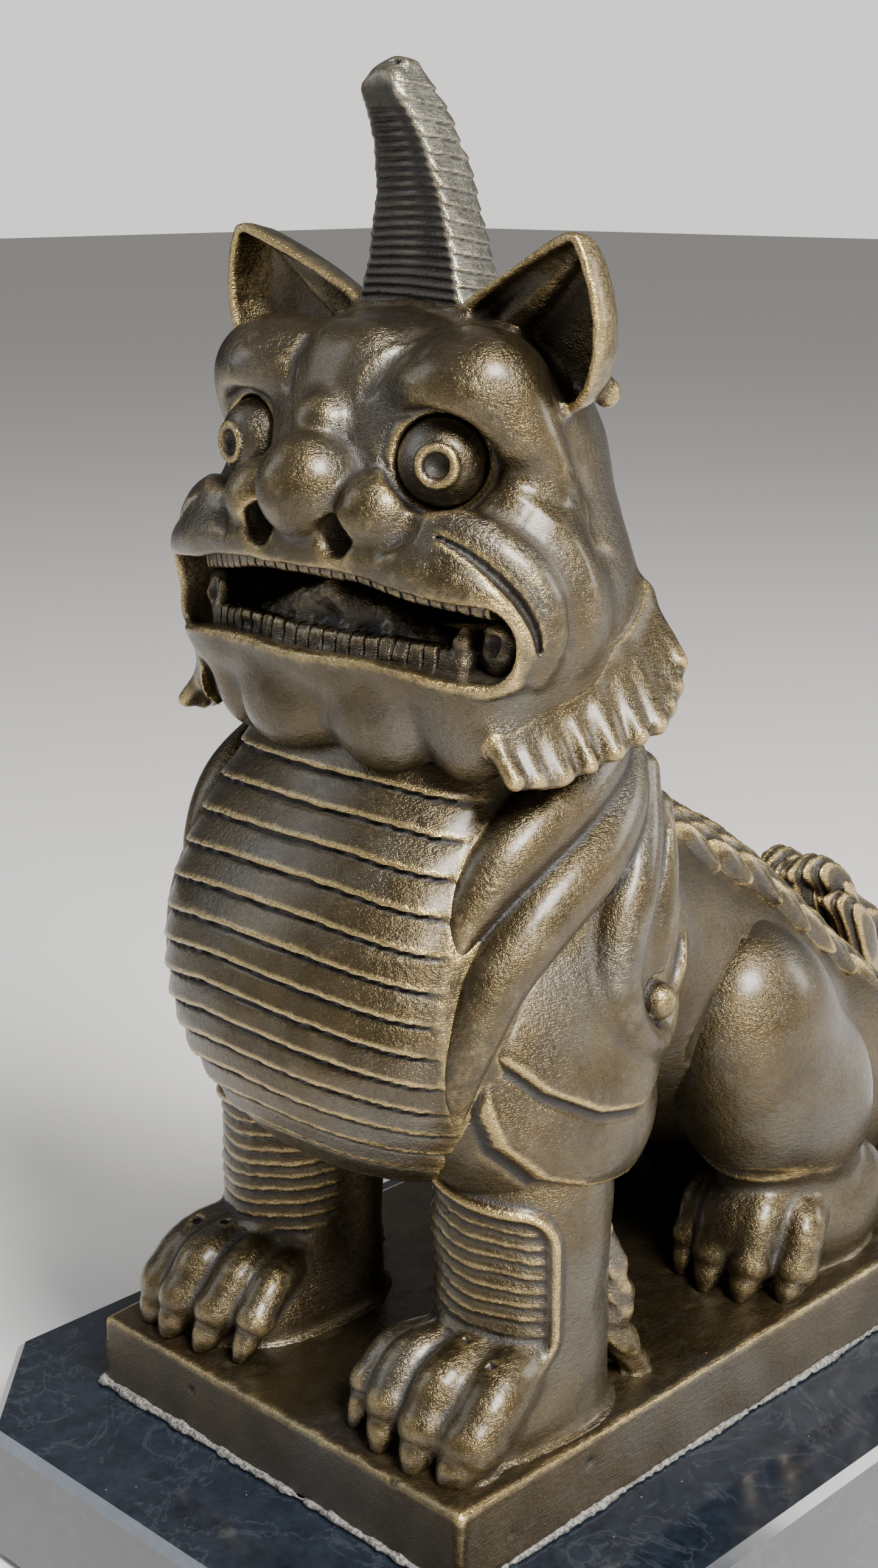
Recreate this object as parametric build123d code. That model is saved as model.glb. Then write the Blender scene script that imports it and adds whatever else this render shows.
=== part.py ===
"""A seated guardian beast with one horn, in cast bronze on its own bronze plinth, bolted to a black marble base.

The bronze is a weldment of hollow lost-wax sections. The row frame is +Z up, with the origin under the middle of
the base. The beast faces -Y, so its own left side is +X. Lengths are millimetres.
Sections of the figure are placed in the figure frame: x from the middle plane, y back from the plinth's front
edge, and z up from the plinth's top.
"""

from build123d import *
import math
import os

# ---------------------------------------------------------------- driving dimensions: base and fixings
felt_thickness = 1.5
felt_inset = 4.0
marble_thickness = 24.0
marble_margin = 24.0  # marble beyond the plinth on every side
marble_corner_cut = 22.0
marble_arris = 1.5
plinth_width = 90.0
plinth_length = 190.0
plinth_height = 14.0
plinth_corner = 4.0
bronze_wall = 5.0
bead_width = 1.6
bead_height = 1.4
stud_radius = 4.0
stud_spacing = 110.0
stud_grip = 7.0  # length of stud brazed into its boss
boss_wall = 4.0
stud_clearance = 0.5  # radial, in the marble
washer_radius = 10.0
washer_thickness = 1.6
washer_clearance = 0.3
nut_flats = 13.0
nut_height = 6.5
stud_proud = 1.5  # thread beyond the nut
counterbore_clearance = 2.0
counterbore_headroom = 1.0
core_hole_radius = 14.0  # the moulding core was dug out through here

# ---------------------------------------------------------------- driving dimensions: the beast's body
chest_back = 35.0
chest_height = 72.0
chest_radius = 40.0
neck_offset = (0.0, 3.0, 22.0)
neck_radius = 30.0
loin_offset = (0.0, 27.0, -3.0)
loin_radius = 35.0
flank_offset = (0.0, 60.0, -23.0)
flank_radius = 35.0
rump_offset = (0.0, 91.0, -50.0)
rump_radius = 33.0

# ---------------------------------------------------------------- driving dimensions: the head
skull_radius = 30.0
head_rise = 78.0  # middle of the skull above the middle of the chest
head_back = 6.0
jowl_offset = (19.0, -5.0, -20.0)
jowl_radius = 20.0
muzzle_offset = (14.0, -21.0, -12.0)
muzzle_radius = 14.0
chin_offset = (15.0, -19.0, -31.0)
chin_radius = 10.0
brow_offset = (16.0, -20.0, 18.0)
brow_radius = 9.0
nose_offset = (0.0, -27.5, 4.0)
nose_radius = 8.0
nose_wing_offset = (9.5, -25.0, 0.0)
nose_wing_radius = 6.5
eye_offset = (21.4, -16.5, 7.6)
eye_radius = 7.0
pupil_radius = 2.2
pupil_depth = 2.5
eye_seat_depth = 1.5  # flat back of the eye, behind its middle
eye_clearance = 0.4  # radial, in the socket
passage_radius = 6.0  # joins the hollows of the head and the torso
mouth_drop = 17.0
mouth_width = 72.0
mouth_height = 14.0
mouth_back = 6.0  # the pocket stops this far in front of the skull's middle
tooth_arch_radius = 31.0
tooth_wall = 3.0
tooth_height = 4.5
tooth_line = 27.0  # front of the teeth, ahead of the skull's middle
tongue_radius = 6.5
tongue_spread = 9.0
ear_foot = (28.0, 0.0, 10.0)
ear_tip = (36.0, -8.0, 41.0)
ear_foot_radius = 10.0
ear_tip_radius = 1.6
ear_wall = 2.6
horn_sections = (  # rise and back from the skull's middle, half width and half depth
    (22.0, 1.5, 11.5, 9.5),
    (34.0, 0.5, 10.5, 8.0),
    (45.0, -2.7, 9.5, 7.3),
    (53.0, -6.2, 9.0, 7.2),
    (59.0, -11.5, 8.0, 7.4),
    (64.5, -13.5, 5.0, 3.5),
)
ruff_profile = (  # back and rise from the skull's middle
    (-23.0, -26.0),
    (-17.0, -39.0),
    (-6.0, -35.0),
    (12.0, -27.0),
    (19.0, -14.0),
    (7.0, -18.0),
)
ruff_inner = 26.0
ruff_outer = 43.0

# ---------------------------------------------------------------- driving dimensions: limbs, scrolls and tail
fore_stance = 27.0
fore_radius = 14.0
fore_paw_reach = 17.0  # the paw's middle ahead of the leg's
fore_paw_radius = 14.0
leg_bore_radius = 8.0
leg_embed = 15.0  # the leg runs this far past the chest's lowest contact
hind_stance = 23.0
hind_offset = 69.0  # behind the chest
thigh_height = 44.0
thigh_radius = 20.0
shin_radius = 9.0
foot_radius = 11.5
foot_length = 26.0  # between the middles of the foot's two round ends
foot_splay = 8.0
toe_count = 4
toe_share = 0.27  # radius of a toe as a share of its paw's
scroll_share = (0.43, 0.08, -0.05)  # scroll's middle from the chest's, as shares of the chest's radius
scroll_radius = 26.0
pearl_offset = (22.0, 14.0, -5.0)
pearl_radius = 5.0
tuft_count = 3
tuft_radius = 6.0
tuft_pitch = 7.0
mane_radius = 9.0
mane_stand = 4.0
mane_pitch = 9.0
mane_count = 8
tail_stations = (  # back and rise from the rump's middle, and radius
    (16.0, 34.0, 8.0),
    (28.0, 22.0, 10.0),
    (37.0, 6.0, 12.0),
    (42.0, -10.0, 13.0),
)

# ---------------------------------------------------------------- levels and places
marble_base_z = felt_thickness
plinth_base_z = marble_base_z + marble_thickness
ground_z = plinth_base_z + plinth_height
front_y = -plinth_length / 2
marble_width = plinth_width + 2 * marble_margin
marble_length = plinth_length + 2 * marble_margin
marble_hole = stud_radius + stud_clearance
counterbore_radius = washer_radius + counterbore_clearance
counterbore_depth = washer_thickness + nut_height + stud_proud + counterbore_headroom
washer_z = marble_base_z + counterbore_depth - washer_thickness
nut_z = washer_z - nut_height
stud_top_z = ground_z - bronze_wall
stud_bottom_z = nut_z - stud_proud


def moved(base, offset):
    return tuple(b + o for b, o in zip(base, offset))


chest = (0.0, chest_back, chest_height)
rump = moved(chest, rump_offset)
torso_lobes = (
    (chest, chest_radius),
    (moved(chest, neck_offset), neck_radius),
    (moved(chest, loin_offset), loin_radius),
    (moved(chest, flank_offset), flank_radius),
    (rump, rump_radius),
)
skull = moved(chest, (0.0, head_back, head_rise))
eye_centre = moved(skull, eye_offset)
mouth = moved(skull, (0.0, -mouth_back, -mouth_drop))
head_hollow = moved(skull, (0.0, 2 * bronze_wall, 2 * bronze_wall))
head_hollow_radius = skull_radius - 3 * bronze_wall
passage = moved(skull, (0.0, bronze_wall, 0.0))
fore_paw = (fore_stance, chest_back - fore_paw_reach, 0.0)
hind_foot = (hind_stance + foot_splay, chest_back + hind_offset, 0.0)
thigh = (hind_stance, chest_back + hind_offset, thigh_height)


# ---------------------------------------------------------------- helpers
def place(point):
    """A point of the figure frame as a location in the row frame."""
    return Pos(point[0], front_y + point[1], ground_z + point[2])


def ball(centre, radius):
    return place(centre) * Sphere(radius)


def taper(start, end, start_radius, end_radius):
    """A round bar between two points, with flat ends."""
    run = Vector(*moved(end, tuple(-s for s in start)))
    middle = tuple((a + b) / 2 for a, b in zip(start, end))
    frame = Plane(origin=(0, 0, 0), z_dir=run).location
    if start_radius == end_radius:
        bar = Cylinder(start_radius, run.length)
    else:
        bar = Cone(start_radius, end_radius, run.length)
    return place(middle) * frame * bar


def rod(start, end, radius):
    """A round bar with ball ends."""
    return taper(start, end, radius, radius) + ball(start, radius) + ball(end, radius)


def across(offset, radius):
    """A rod through the head from side to side, at the offset from the skull's middle."""
    left = moved(skull, offset)
    return rod(left, (-left[0], left[1], left[2]), radius)


def union(shapes):
    whole = shapes[0]
    for shape in shapes[1:]:
        whole += shape
    return whole


def other_side(shape):
    return mirror(shape, Plane.YZ)


def above_ground(shape):
    """The part of the shape above the plinth's top."""
    reach = 2 * plinth_length
    return shape & Pos(0, 0, ground_z + reach / 2) * Box(reach, reach, reach)


def octagon(width, length, cut):
    """A rectangle with its four corners cut off at 45 degrees."""
    half_w, half_l = width / 2, length / 2
    corners = [
        (half_w, half_l - cut),
        (half_w - cut, half_l),
        (cut - half_w, half_l),
        (-half_w, half_l - cut),
        (-half_w, cut - half_l),
        (cut - half_w, -half_l),
        (half_w - cut, -half_l),
        (half_w, cut - half_l),
    ]
    return make_face(Polyline(*corners, close=True))


def upright(radius, low, high):
    """A vertical cylinder on the origin's axis between two heights."""
    return Pos(0, 0, (low + high) / 2) * Cylinder(radius, high - low)


def at_studs(shape):
    return [Pos(0, end * stud_spacing / 2, 0) * shape for end in (-1, 1)]


def toes(paw, radius):
    """A row of rounded toes along the front of a paw."""
    size = toe_share * radius
    pitch = 2 * (radius - size) / (toe_count - 1)
    row = []
    for i in range(toe_count):
        side = (i - (toe_count - 1) / 2) * pitch
        reach = 0.95 * radius - 0.02 * side * side
        tip = moved(paw, (side, -reach, size))
        root = moved(paw, (side, -reach / 2, size))
        row.append(rod(tip, root, size))
    return union(row)


# ---------------------------------------------------------------- base and fixings
def felt_sheet():
    outline = octagon(marble_width - 2 * felt_inset, marble_length - 2 * felt_inset, marble_corner_cut)
    sheet = extrude(outline, felt_thickness)
    for hole in at_studs(upright(counterbore_radius, -1, felt_thickness + 1)):
        sheet -= hole
    return sheet


def marble_base():
    slab = extrude(octagon(marble_width, marble_length, marble_corner_cut), marble_thickness)
    slab = chamfer(slab.edges().group_by(Axis.Z)[-1], marble_arris)
    slab = Pos(0, 0, marble_base_z) * slab
    for hole in at_studs(upright(marble_hole, marble_base_z - 1, plinth_base_z + 1)):
        slab -= hole
    for bore in at_studs(upright(counterbore_radius, marble_base_z - 1, marble_base_z + counterbore_depth)):
        slab -= bore
    return slab


def plinth_casting():
    outer = extrude(RectangleRounded(plinth_width, plinth_length, plinth_corner), plinth_height)
    inside = Rectangle(plinth_width - 2 * bronze_wall, plinth_length - 2 * bronze_wall)
    shell = Pos(0, 0, plinth_base_z) * (outer - extrude(inside, plinth_height - bronze_wall))
    for boss in at_studs(upright(stud_radius + boss_wall, stud_top_z - stud_grip, stud_top_z)):
        shell += boss
    for bore in at_studs(upright(stud_radius, plinth_base_z, stud_top_z)):
        shell -= bore
    core_hole = place((0, rump[1], 0)) * Cylinder(core_hole_radius, 4 * bronze_wall)
    return shell - core_hole


def glue_bead():
    outer_size = (plinth_width + 2 * bead_width, plinth_length + 2 * bead_width)
    outer = extrude(RectangleRounded(*outer_size, plinth_corner + bead_width), bead_height)
    outer = chamfer(outer.edges().group_by(Axis.Z)[-1], bead_height * 0.6)
    plinth = extrude(RectangleRounded(plinth_width, plinth_length, plinth_corner), bead_height)
    return Pos(0, 0, plinth_base_z) * (outer - plinth)


def mounting_studs():
    return Compound(at_studs(upright(stud_radius, stud_bottom_z, stud_top_z)))


def stud_washers():
    ring = upright(washer_radius, washer_z, washer_z + washer_thickness)
    ring -= upright(stud_radius + washer_clearance, washer_z - 1, washer_z + washer_thickness + 1)
    return Compound(at_studs(ring))


def stud_nuts():
    hexagon = Pos(0, 0, nut_z) * extrude(RegularPolygon(nut_flats / 2, 6, major_radius=False), nut_height)
    hexagon -= upright(stud_radius, nut_z - 1, washer_z + 1)
    return Compound(at_studs(hexagon))


# ---------------------------------------------------------------- envelopes: outer shapes before seats are cut
def torso_envelope(shrink):
    return above_ground(union([ball(centre, radius - shrink) for centre, radius in torso_lobes]))


def head_envelope():
    middle = [
        ball(skull, skull_radius),
        across(jowl_offset, jowl_radius),
        across(muzzle_offset, muzzle_radius),
        across(chin_offset, chin_radius),
        ball(moved(skull, nose_offset), nose_radius),
    ]
    brow = ball(moved(skull, brow_offset), brow_radius)
    wing = ball(moved(skull, nose_wing_offset), nose_wing_radius)
    return union(middle + [brow, wing, other_side(brow), other_side(wing)])


def mouth_pocket():
    """The slot between the jaws, open to the front."""
    slot = extrude(Plane.XZ * SlotOverall(mouth_width, mouth_height), 2 * skull_radius)
    return place(mouth) * slot


def fore_leg_envelope():
    column = taper(
        (fore_stance, chest_back, 0.0),
        (fore_stance, chest_back, chest_height - leg_embed),
        fore_radius,
        fore_radius,
    )
    return above_ground(union([column, ball(fore_paw, fore_paw_radius), toes(fore_paw, fore_paw_radius)]))


def scroll_envelope():
    centre = moved(chest, tuple(share * chest_radius for share in scroll_share))
    return ball(centre, scroll_radius) + ball(moved(centre, pearl_offset), pearl_radius)


def tail_envelope():
    stations = [(moved(rump, (0.0, back, rise)), radius) for back, rise, radius in tail_stations]
    bars = [ball(centre, radius) for centre, radius in stations]
    for (start, start_radius), (end, end_radius) in zip(stations, stations[1:]):
        bars.append(taper(start, end, start_radius, end_radius))
    return above_ground(union(bars))


# ---------------------------------------------------------------- bronze sections
def core_passage():
    """The way from the torso's hollow up into the head's."""
    low = (passage[0], passage[1], chest_height + neck_offset[2])
    high = (passage[0], passage[1], head_hollow[2])
    return taper(low, high, passage_radius, passage_radius)


def eye_socket():
    """A flat-floored hole for the left eye, open to the front."""
    floor = moved(eye_centre, (0.0, eye_seat_depth, 0.0))
    mouth_of_hole = moved(eye_centre, (0.0, -skull_radius, 0.0))
    return taper(floor, mouth_of_hole, eye_radius + eye_clearance, eye_radius + eye_clearance)


def head_casting(head, torso):
    socket = eye_socket()
    solid = head - socket - other_side(socket) - torso - mouth_pocket()
    return solid - ball(head_hollow, head_hollow_radius) - core_passage()


def eye():
    """An eyeball with a flat back and a drilled pupil."""
    back = moved(eye_centre, (0.0, eye_seat_depth + eye_radius, 0.0))
    drill_start = moved(eye_centre, (0.0, -2 * eye_radius, 0.0))
    drill_end = moved(eye_centre, (0.0, pupil_depth - eye_radius, 0.0))
    whole = ball(eye_centre, eye_radius) - taper(drill_start, drill_end, pupil_radius, pupil_radius)
    return whole - place(back) * Box(3 * eye_radius, 2 * eye_radius, 3 * eye_radius)


def teeth(pocket, upper):
    """A curved strip of teeth standing on the upper or the lower edge of the mouth pocket."""
    arch_centre = (0.0, skull[1] - tooth_line + tooth_arch_radius, mouth[2])
    arch = Cylinder(tooth_arch_radius, 2 * mouth_height)
    arch -= Cylinder(tooth_arch_radius - tooth_wall, 2 * mouth_height)
    shift = (mouth_height - tooth_height) * (1 if upper else -1)
    layer = place(moved(mouth, (0.0, -skull_radius, shift))) * Box(
        mouth_width, 2 * skull_radius, mouth_height
    )
    return place(arch_centre) * arch & pocket & layer


def tongue(pocket):
    middle = moved(mouth, (0.0, -tongue_radius, -mouth_height / 2))
    ends = [moved(middle, (side * tongue_spread, 0.0, 0.0)) for side in (-1, 1)]
    return rod(*ends, tongue_radius) & pocket


def ear(head):
    """A pointed leaf, hollowed from the front."""
    foot, tip = moved(skull, ear_foot), moved(skull, ear_tip)
    forward = (0.0, -2 * ear_wall, ear_wall)
    bowl = taper(moved(foot, forward), moved(tip, forward), ear_foot_radius - ear_wall, ear_tip_radius / 2)
    return taper(foot, tip, ear_foot_radius, ear_tip_radius) - bowl - head


def horn(head):
    sections = [
        place(moved(skull, (0.0, back, rise))) * Rectangle(2 * half_width, 2 * half_depth)
        for rise, back, half_width, half_depth in horn_sections
    ]
    return loft(sections, ruled=True) - head


def ruff(head, torso, scroll):
    outline = make_face(Polyline(*ruff_profile, close=True))
    plate = extrude(Plane.YZ * outline, ruff_outer - ruff_inner)
    return place(moved(skull, (ruff_inner, 0.0, 0.0))) * plate - head - torso - scroll


def fore_leg(envelope, torso):
    bore = taper(
        (fore_stance, chest_back, 2 * bronze_wall),
        (fore_stance, chest_back, chest_height),
        leg_bore_radius,
        leg_bore_radius,
    )
    return envelope - bore - torso


def elbow_tuft(leg, torso):
    curls = []
    for i in range(tuft_count):
        radius = tuft_radius - 0.8 * i
        place_at = (fore_stance, chest_back + fore_radius + 0.3 * tuft_radius, i * tuft_pitch)
        curls.append(ball(place_at, radius))
    return above_ground(union(curls)) - leg - torso


def hind_leg(torso):
    heel = moved(hind_foot, (0.0, foot_length / 2, 0.0))
    front = moved(hind_foot, (0.0, -foot_length / 2, 0.0))
    ankle = moved(hind_foot, (-foot_splay / 2, foot_length / 4, foot_radius))
    parts = [ball(thigh, thigh_radius), rod(thigh, ankle, shin_radius)]
    parts += [rod(heel, front, foot_radius), toes(front, foot_radius)]
    return above_ground(union(parts)) - torso


def spine_top(y):
    """Height of the torso's ridge at a distance back from the plinth's front edge."""
    heights = []
    for centre, radius in torso_lobes:
        room = radius**2 - (y - centre[1]) ** 2
        if room > 0:
            heights.append(centre[2] + math.sqrt(room))
    return max(heights)


def spine_mane(torso, head, tail):
    """A row of overlapping locks along the back, from the nape towards the tail."""
    locks = []
    for i in range(mane_count):
        y = skull[1] + skull_radius + i * mane_pitch
        locks.append(ball((0.0, y, spine_top(y) + mane_stand - mane_radius), mane_radius))
    return union(locks) - torso - head - tail


def figure():
    """Every bronze section above the plinth, by node name."""
    torso = torso_envelope(0.0)
    head = head_envelope()
    leg = fore_leg_envelope()
    scroll = scroll_envelope()
    tail = tail_envelope()
    pocket = mouth_pocket()
    paired = {
        "eye": eye(),
        "ear": ear(head),
        "ruff": ruff(head, torso, scroll),
        "shoulder_scroll": scroll - torso - leg - head,
        "front_leg": fore_leg(leg, torso),
        "elbow_tuft": elbow_tuft(leg, torso),
        "hind_leg": hind_leg(torso),
    }
    nodes = {
        "torso_casting": torso - torso_envelope(bronze_wall) - core_passage(),
        "head_casting": head_casting(head, torso),
        "horn": horn(head),
        "upper_teeth": teeth(pocket, True),
        "lower_teeth": teeth(pocket, False),
        "tongue": tongue(pocket),
        "tail": tail - torso,
        "spine_mane": spine_mane(torso, head, tail),
    }
    for name, shape in paired.items():
        nodes[f"{name}_left"] = shape
        nodes[f"{name}_right"] = other_side(shape)
    return nodes


def main():
    os.makedirs("parts", exist_ok=True)
    nodes = {
        "felt_sheet": felt_sheet(),
        "marble_base": marble_base(),
        "plinth_casting": plinth_casting(),
        "glue_bead": glue_bead(),
        "mounting_studs": mounting_studs(),
        "stud_washers": stud_washers(),
        "stud_nuts": stud_nuts(),
    }
    nodes.update(figure())
    for name, shape in nodes.items():
        export_step(shape, f"parts/{name}.step")


main()
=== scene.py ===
"""A seated one-horned guardian beast in cast bronze, on a bronze plinth and a black marble base.

Every bronze section is sculpted here as a block of signed distances in the figure frame: millimetres, x from the
middle plane, y back from the plinth's front edge, z up from the plinth's top. The beast faces -Y.
"""

import math
from concurrent.futures import ThreadPoolExecutor

import bpy
import numpy as np
import openvdb
from mathutils import Euler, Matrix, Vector


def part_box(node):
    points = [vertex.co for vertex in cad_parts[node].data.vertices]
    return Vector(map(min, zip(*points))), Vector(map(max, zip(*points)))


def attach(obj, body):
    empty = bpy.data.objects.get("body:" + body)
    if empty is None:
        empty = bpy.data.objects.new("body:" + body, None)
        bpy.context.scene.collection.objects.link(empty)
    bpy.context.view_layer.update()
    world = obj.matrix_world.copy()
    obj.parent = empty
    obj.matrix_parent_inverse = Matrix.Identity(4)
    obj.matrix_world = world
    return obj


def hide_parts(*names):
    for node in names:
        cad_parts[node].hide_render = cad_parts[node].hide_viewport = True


# ---------------------------------------------------------------- clay: signed distances on a grid
FAR = 30.0
PITCH = 0.5


def smooth_min(a, b, blend):
    if blend <= 0.0:
        return np.minimum(a, b)
    near = np.maximum(blend - np.abs(a - b), 0.0) / blend
    return np.minimum(a, b) - near * near * (blend * 0.25)


class Clay:
    """Signed distances in a box of the figure frame, negative inside the bronze."""

    def __init__(self, low, high, pitch=PITCH):
        self.pitch = pitch
        self.low = np.floor(np.array(low, float))
        counts = np.ceil((np.ceil(np.array(high, float)) - self.low) / pitch).astype(int) + 1
        self.axes = [(self.low[i] + pitch * np.arange(counts[i])).astype(np.float32) for i in range(3)]
        self.field = np.full(counts, FAR, np.float32)

    @classmethod
    def of(cls, field, axes, pitch):
        """A block round distances that are already worked out."""
        clay = cls.__new__(cls)
        clay.field, clay.axes, clay.pitch = field, axes, pitch
        clay.low = np.array([float(a[0]) for a in axes])
        return clay

    def window(self, low, high):
        cuts = []
        for i in range(3):
            first = int(np.searchsorted(self.axes[i], low[i]))
            last = int(np.searchsorted(self.axes[i], high[i], side="right"))
            cuts.append(slice(first, max(first, last)))
        x, y, z = (self.axes[i][cuts[i]] for i in range(3))
        return tuple(cuts), x[:, None, None], y[None, :, None], z[None, None, :]

    def _apply(self, shape, reach, change):
        low, high, distance = shape
        cuts, x, y, z = self.window(np.array(low) - reach, np.array(high) + reach)
        part = self.field[cuts]
        if part.size:
            self.field[cuts] = change(part, distance(x, y, z))

    def add(self, shape, blend=0.0):
        self._apply(shape, blend + 4.0, lambda old, new: smooth_min(old, new, blend))
        return self

    def cut(self, shape, blend=0.0):
        self._apply(shape, blend + 1.0, lambda old, new: -smooth_min(-old, new, blend))
        return self

    def keep(self, shape, blend=0.0):
        """Only what is inside the shape stays. The shape covers the whole block."""
        _, _, distance = shape
        _, x, y, z = self.window(self.low - 1, self.low + 1e6)
        self.field = -smooth_min(-self.field, -distance(x, y, z), blend)
        return self

    def swell(self, shape):
        """Moves the surface out by the heights that the shape gives."""
        self._apply(shape, 0.0, lambda old, new: old - new)
        return self

    def roughen(self, *waves):
        """Slow, hand-made unevenness of the whole surface, from (height, seed, spacing) waves."""
        return self.swell(anywhere(lambda x, y, z: sum(h * waver(seed, size)(x, y, z) for h, seed, size in waves)))

    def flipped(self):
        """The block for the other side of the body."""
        return Clay.of(self.field[::-1], [-self.axes[0][::-1], *self.axes[1:]], self.pitch)


# ---------------------------------------------------------------- shapes: (low corner, high corner, distance)
def length3(a, b, c):
    return np.sqrt(a * a + b * b + c * c)


def egg(centre, radii, turn=(0, 0, 0)):
    """An ellipsoid, turned by degrees about x, y and z."""
    c = np.array(centre, float)
    r = np.array(radii, float)
    spin = np.array(Euler([math.radians(t) for t in turn]).to_matrix())
    reach = np.sqrt(((spin * r) ** 2).sum(axis=1))

    def distance(x, y, z):
        p, q, s = x - c[0], y - c[1], z - c[2]
        if any(turn):
            u = spin[0, 0] * p + spin[1, 0] * q + spin[2, 0] * s
            v = spin[0, 1] * p + spin[1, 1] * q + spin[2, 1] * s
            w = spin[0, 2] * p + spin[1, 2] * q + spin[2, 2] * s
        else:
            u, v, w = p, q, s
        near = length3(u / r[0], v / r[1], w / r[2])
        slope = length3(u / r[0] ** 2, v / r[1] ** 2, w / r[2] ** 2)
        return near * (near - 1.0) / np.maximum(slope, 1e-6)

    return c - reach, c + reach, distance


def smooth_path(points, steps):
    """A Catmull-Rom curve through the points, with that many spans between each two."""
    p = np.array(points, float)
    if len(p) < 3 or steps < 2:
        return p
    ends = np.vstack([2 * p[0] - p[1], p, 2 * p[-1] - p[-2]])
    out = []
    for i in range(1, len(ends) - 2):
        a, b, c, d = ends[i - 1 : i + 3]
        for t in np.arange(steps) / steps:
            out.append(
                0.5 * (2 * b + (c - a) * t + (2 * a - 5 * b + 4 * c - d) * t**2 + (3 * b - a - 3 * c + d) * t**3)
            )
    out.append(p[-1])
    return np.array(out)


def along(points, steps):
    """Distance from a curve through (x, y, z, size) points, and the size there."""
    path = smooth_path(points, steps)
    spots, sizes = path[:, :3], path[:, 3]
    low, high = spots.min(axis=0), spots.max(axis=0)

    def measure(x, y, z):
        best = None
        for a, b, ra, rb in zip(spots, spots[1:], sizes, sizes[1:]):
            run = b - a
            square = max(float(run @ run), 1e-9)
            t = ((x - a[0]) * run[0] + (y - a[1]) * run[1] + (z - a[2]) * run[2]) / square
            if ra != rb:
                off = length3(x - a[0] - t * run[0], y - a[1] - t * run[1], z - a[2] - t * run[2])
                t = t - off * (ra - rb) / math.sqrt(square * max(square - (ra - rb) ** 2, 1e-4))
            t = np.clip(t, 0.0, 1.0)
            d = length3(x - a[0] - t * run[0], y - a[1] - t * run[1], z - a[2] - t * run[2])
            r = ra + t * (rb - ra)
            if best is None:
                best, size = d, r
            else:
                closer = d - r < best - size
                best, size = np.where(closer, d, best), np.where(closer, r, size)
        return best, size

    return low, high, float(sizes.max()), measure


def stroke(points, steps=3):
    """A round bar along a curve through (x, y, z, radius) points."""
    low, high, most, measure = along(points, steps)

    def distance(x, y, z):
        d, r = measure(x, y, z)
        return d - r

    return low - most, high + most, distance


def rounded(d, r, height):
    """A rounded ridge of that height over the half width r, at the distance d from its line."""
    return height * np.clip(1.0 - (d / np.maximum(r, 0.05)) ** 2, 0.0, 1.0)


def ridge(points, height, steps=3):
    """Heights for swell: a rounded ridge, or a groove if negative, where a curve (x, y, z, half width) runs."""
    low, high, most, measure = along(points, steps)
    return low - most, high + most, lambda x, y, z: rounded(*measure(x, y, z), height)


def etch(points, height, view, reach=6.0):
    """As ridge, but drawn along a direction onto whatever surface lies within reach of the curve."""
    v = np.array(view, float) / np.linalg.norm(view)
    spots = np.array(points, float)[:, :3]
    flat = [tuple(spot - v * float(v @ spot)) + (p[3],) for spot, p in zip(spots, points)]
    _, _, most, measure = along(flat, 3)

    def heights(x, y, z):
        depth = x * v[0] + y * v[1] + z * v[2]
        return rounded(*measure(x - v[0] * depth, y - v[1] * depth, z - v[2] * depth), height)

    return spots.min(axis=0) - most - reach, spots.max(axis=0) + most + reach, heights


def hoop(centre, axis, radius, thickness):
    """A ring of round bar about an axis."""
    c = np.array(centre, float)
    a = np.array(axis, float) / np.linalg.norm(axis)
    reach = radius + thickness

    def distance(x, y, z):
        p, q, s = x - c[0], y - c[1], z - c[2]
        along_axis = p * a[0] + q * a[1] + s * a[2]
        out = np.sqrt(np.maximum(p * p + q * q + s * s - along_axis**2, 0.0)) - radius
        return np.sqrt(out * out + along_axis**2) - thickness

    return c - reach, c + reach, distance


def block(centre, half, rounding):
    """A box with rounded edges."""
    c = np.array(centre, float)
    h = np.array(half, float)

    def distance(x, y, z):
        out = [np.abs(v - middle) - (size - rounding) for v, middle, size in zip((x, y, z), c, h)]
        outside = length3(*(np.maximum(o, 0.0) for o in out))
        return outside + np.minimum(np.maximum(np.maximum(out[0], out[1]), out[2]), 0.0) - rounding

    return c - h, c + h, distance


def anywhere(distance):
    """A shape without limits."""
    return (-1e6,) * 3, (1e6,) * 3, distance


def above(level):
    """Everything over a height."""
    return anywhere(lambda x, y, z: level - z + 0 * x + 0 * y)


def sided(side, points, middle=0.0):
    """Points of the left side as they are, or mirrored for the right side."""
    return [(middle + side * x, *rest) for x, *rest in points]


def mix(a, b, share):
    return a + (b - a) * share


def ramp(value, start, end):
    """0 before start, 1 after end, smooth between."""
    t = np.clip((value - start) / (end - start), 0.0, 1.0)
    return t * t * (3.0 - 2.0 * t)


def bump(value, width):
    """A smooth hump of height 1 at 0, gone beyond the width."""
    return np.clip(1.0 - (value / width) ** 2, 0.0, 1.0) ** 2


def waver(seed, size):
    """A slow, hand-made unevenness of about -1 to 1, with that spacing in millimetres."""
    rng = np.random.default_rng(seed)
    waves = [(rng.normal(0.0, 1.0, 3) * 2.2 / size, rng.uniform(0, 2 * math.pi, 3)) for _ in range(5)]

    def value(x, y, z):
        total = 0.0
        for rate, shift in waves:
            total = total + (
                np.sin(x * rate[0] + shift[0]) * np.sin(y * rate[1] + shift[1]) * np.sin(z * rate[2] + shift[2])
            )
        return total * 0.7

    return value
# ---------------------------------------------------------------- torso
CHEST_HEIGHTS = (31, 33.5, 36, 42, 48, 53, 58, 65, 72, 78, 85, 92, 99, 106, 113, 120, 126)
CHEST_GIRTHS = (-0.3, 0.0, 0.34, 0.62, 0.77, 0.86, 0.93, 0.985, 1.0, 0.99, 0.955, 0.91, 0.85, 0.77, 0.70, 0.64, 0.60)
LAME_TOP = 114.0
LAME_PITCH = 5.0
LAME_COUNT = 14


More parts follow.
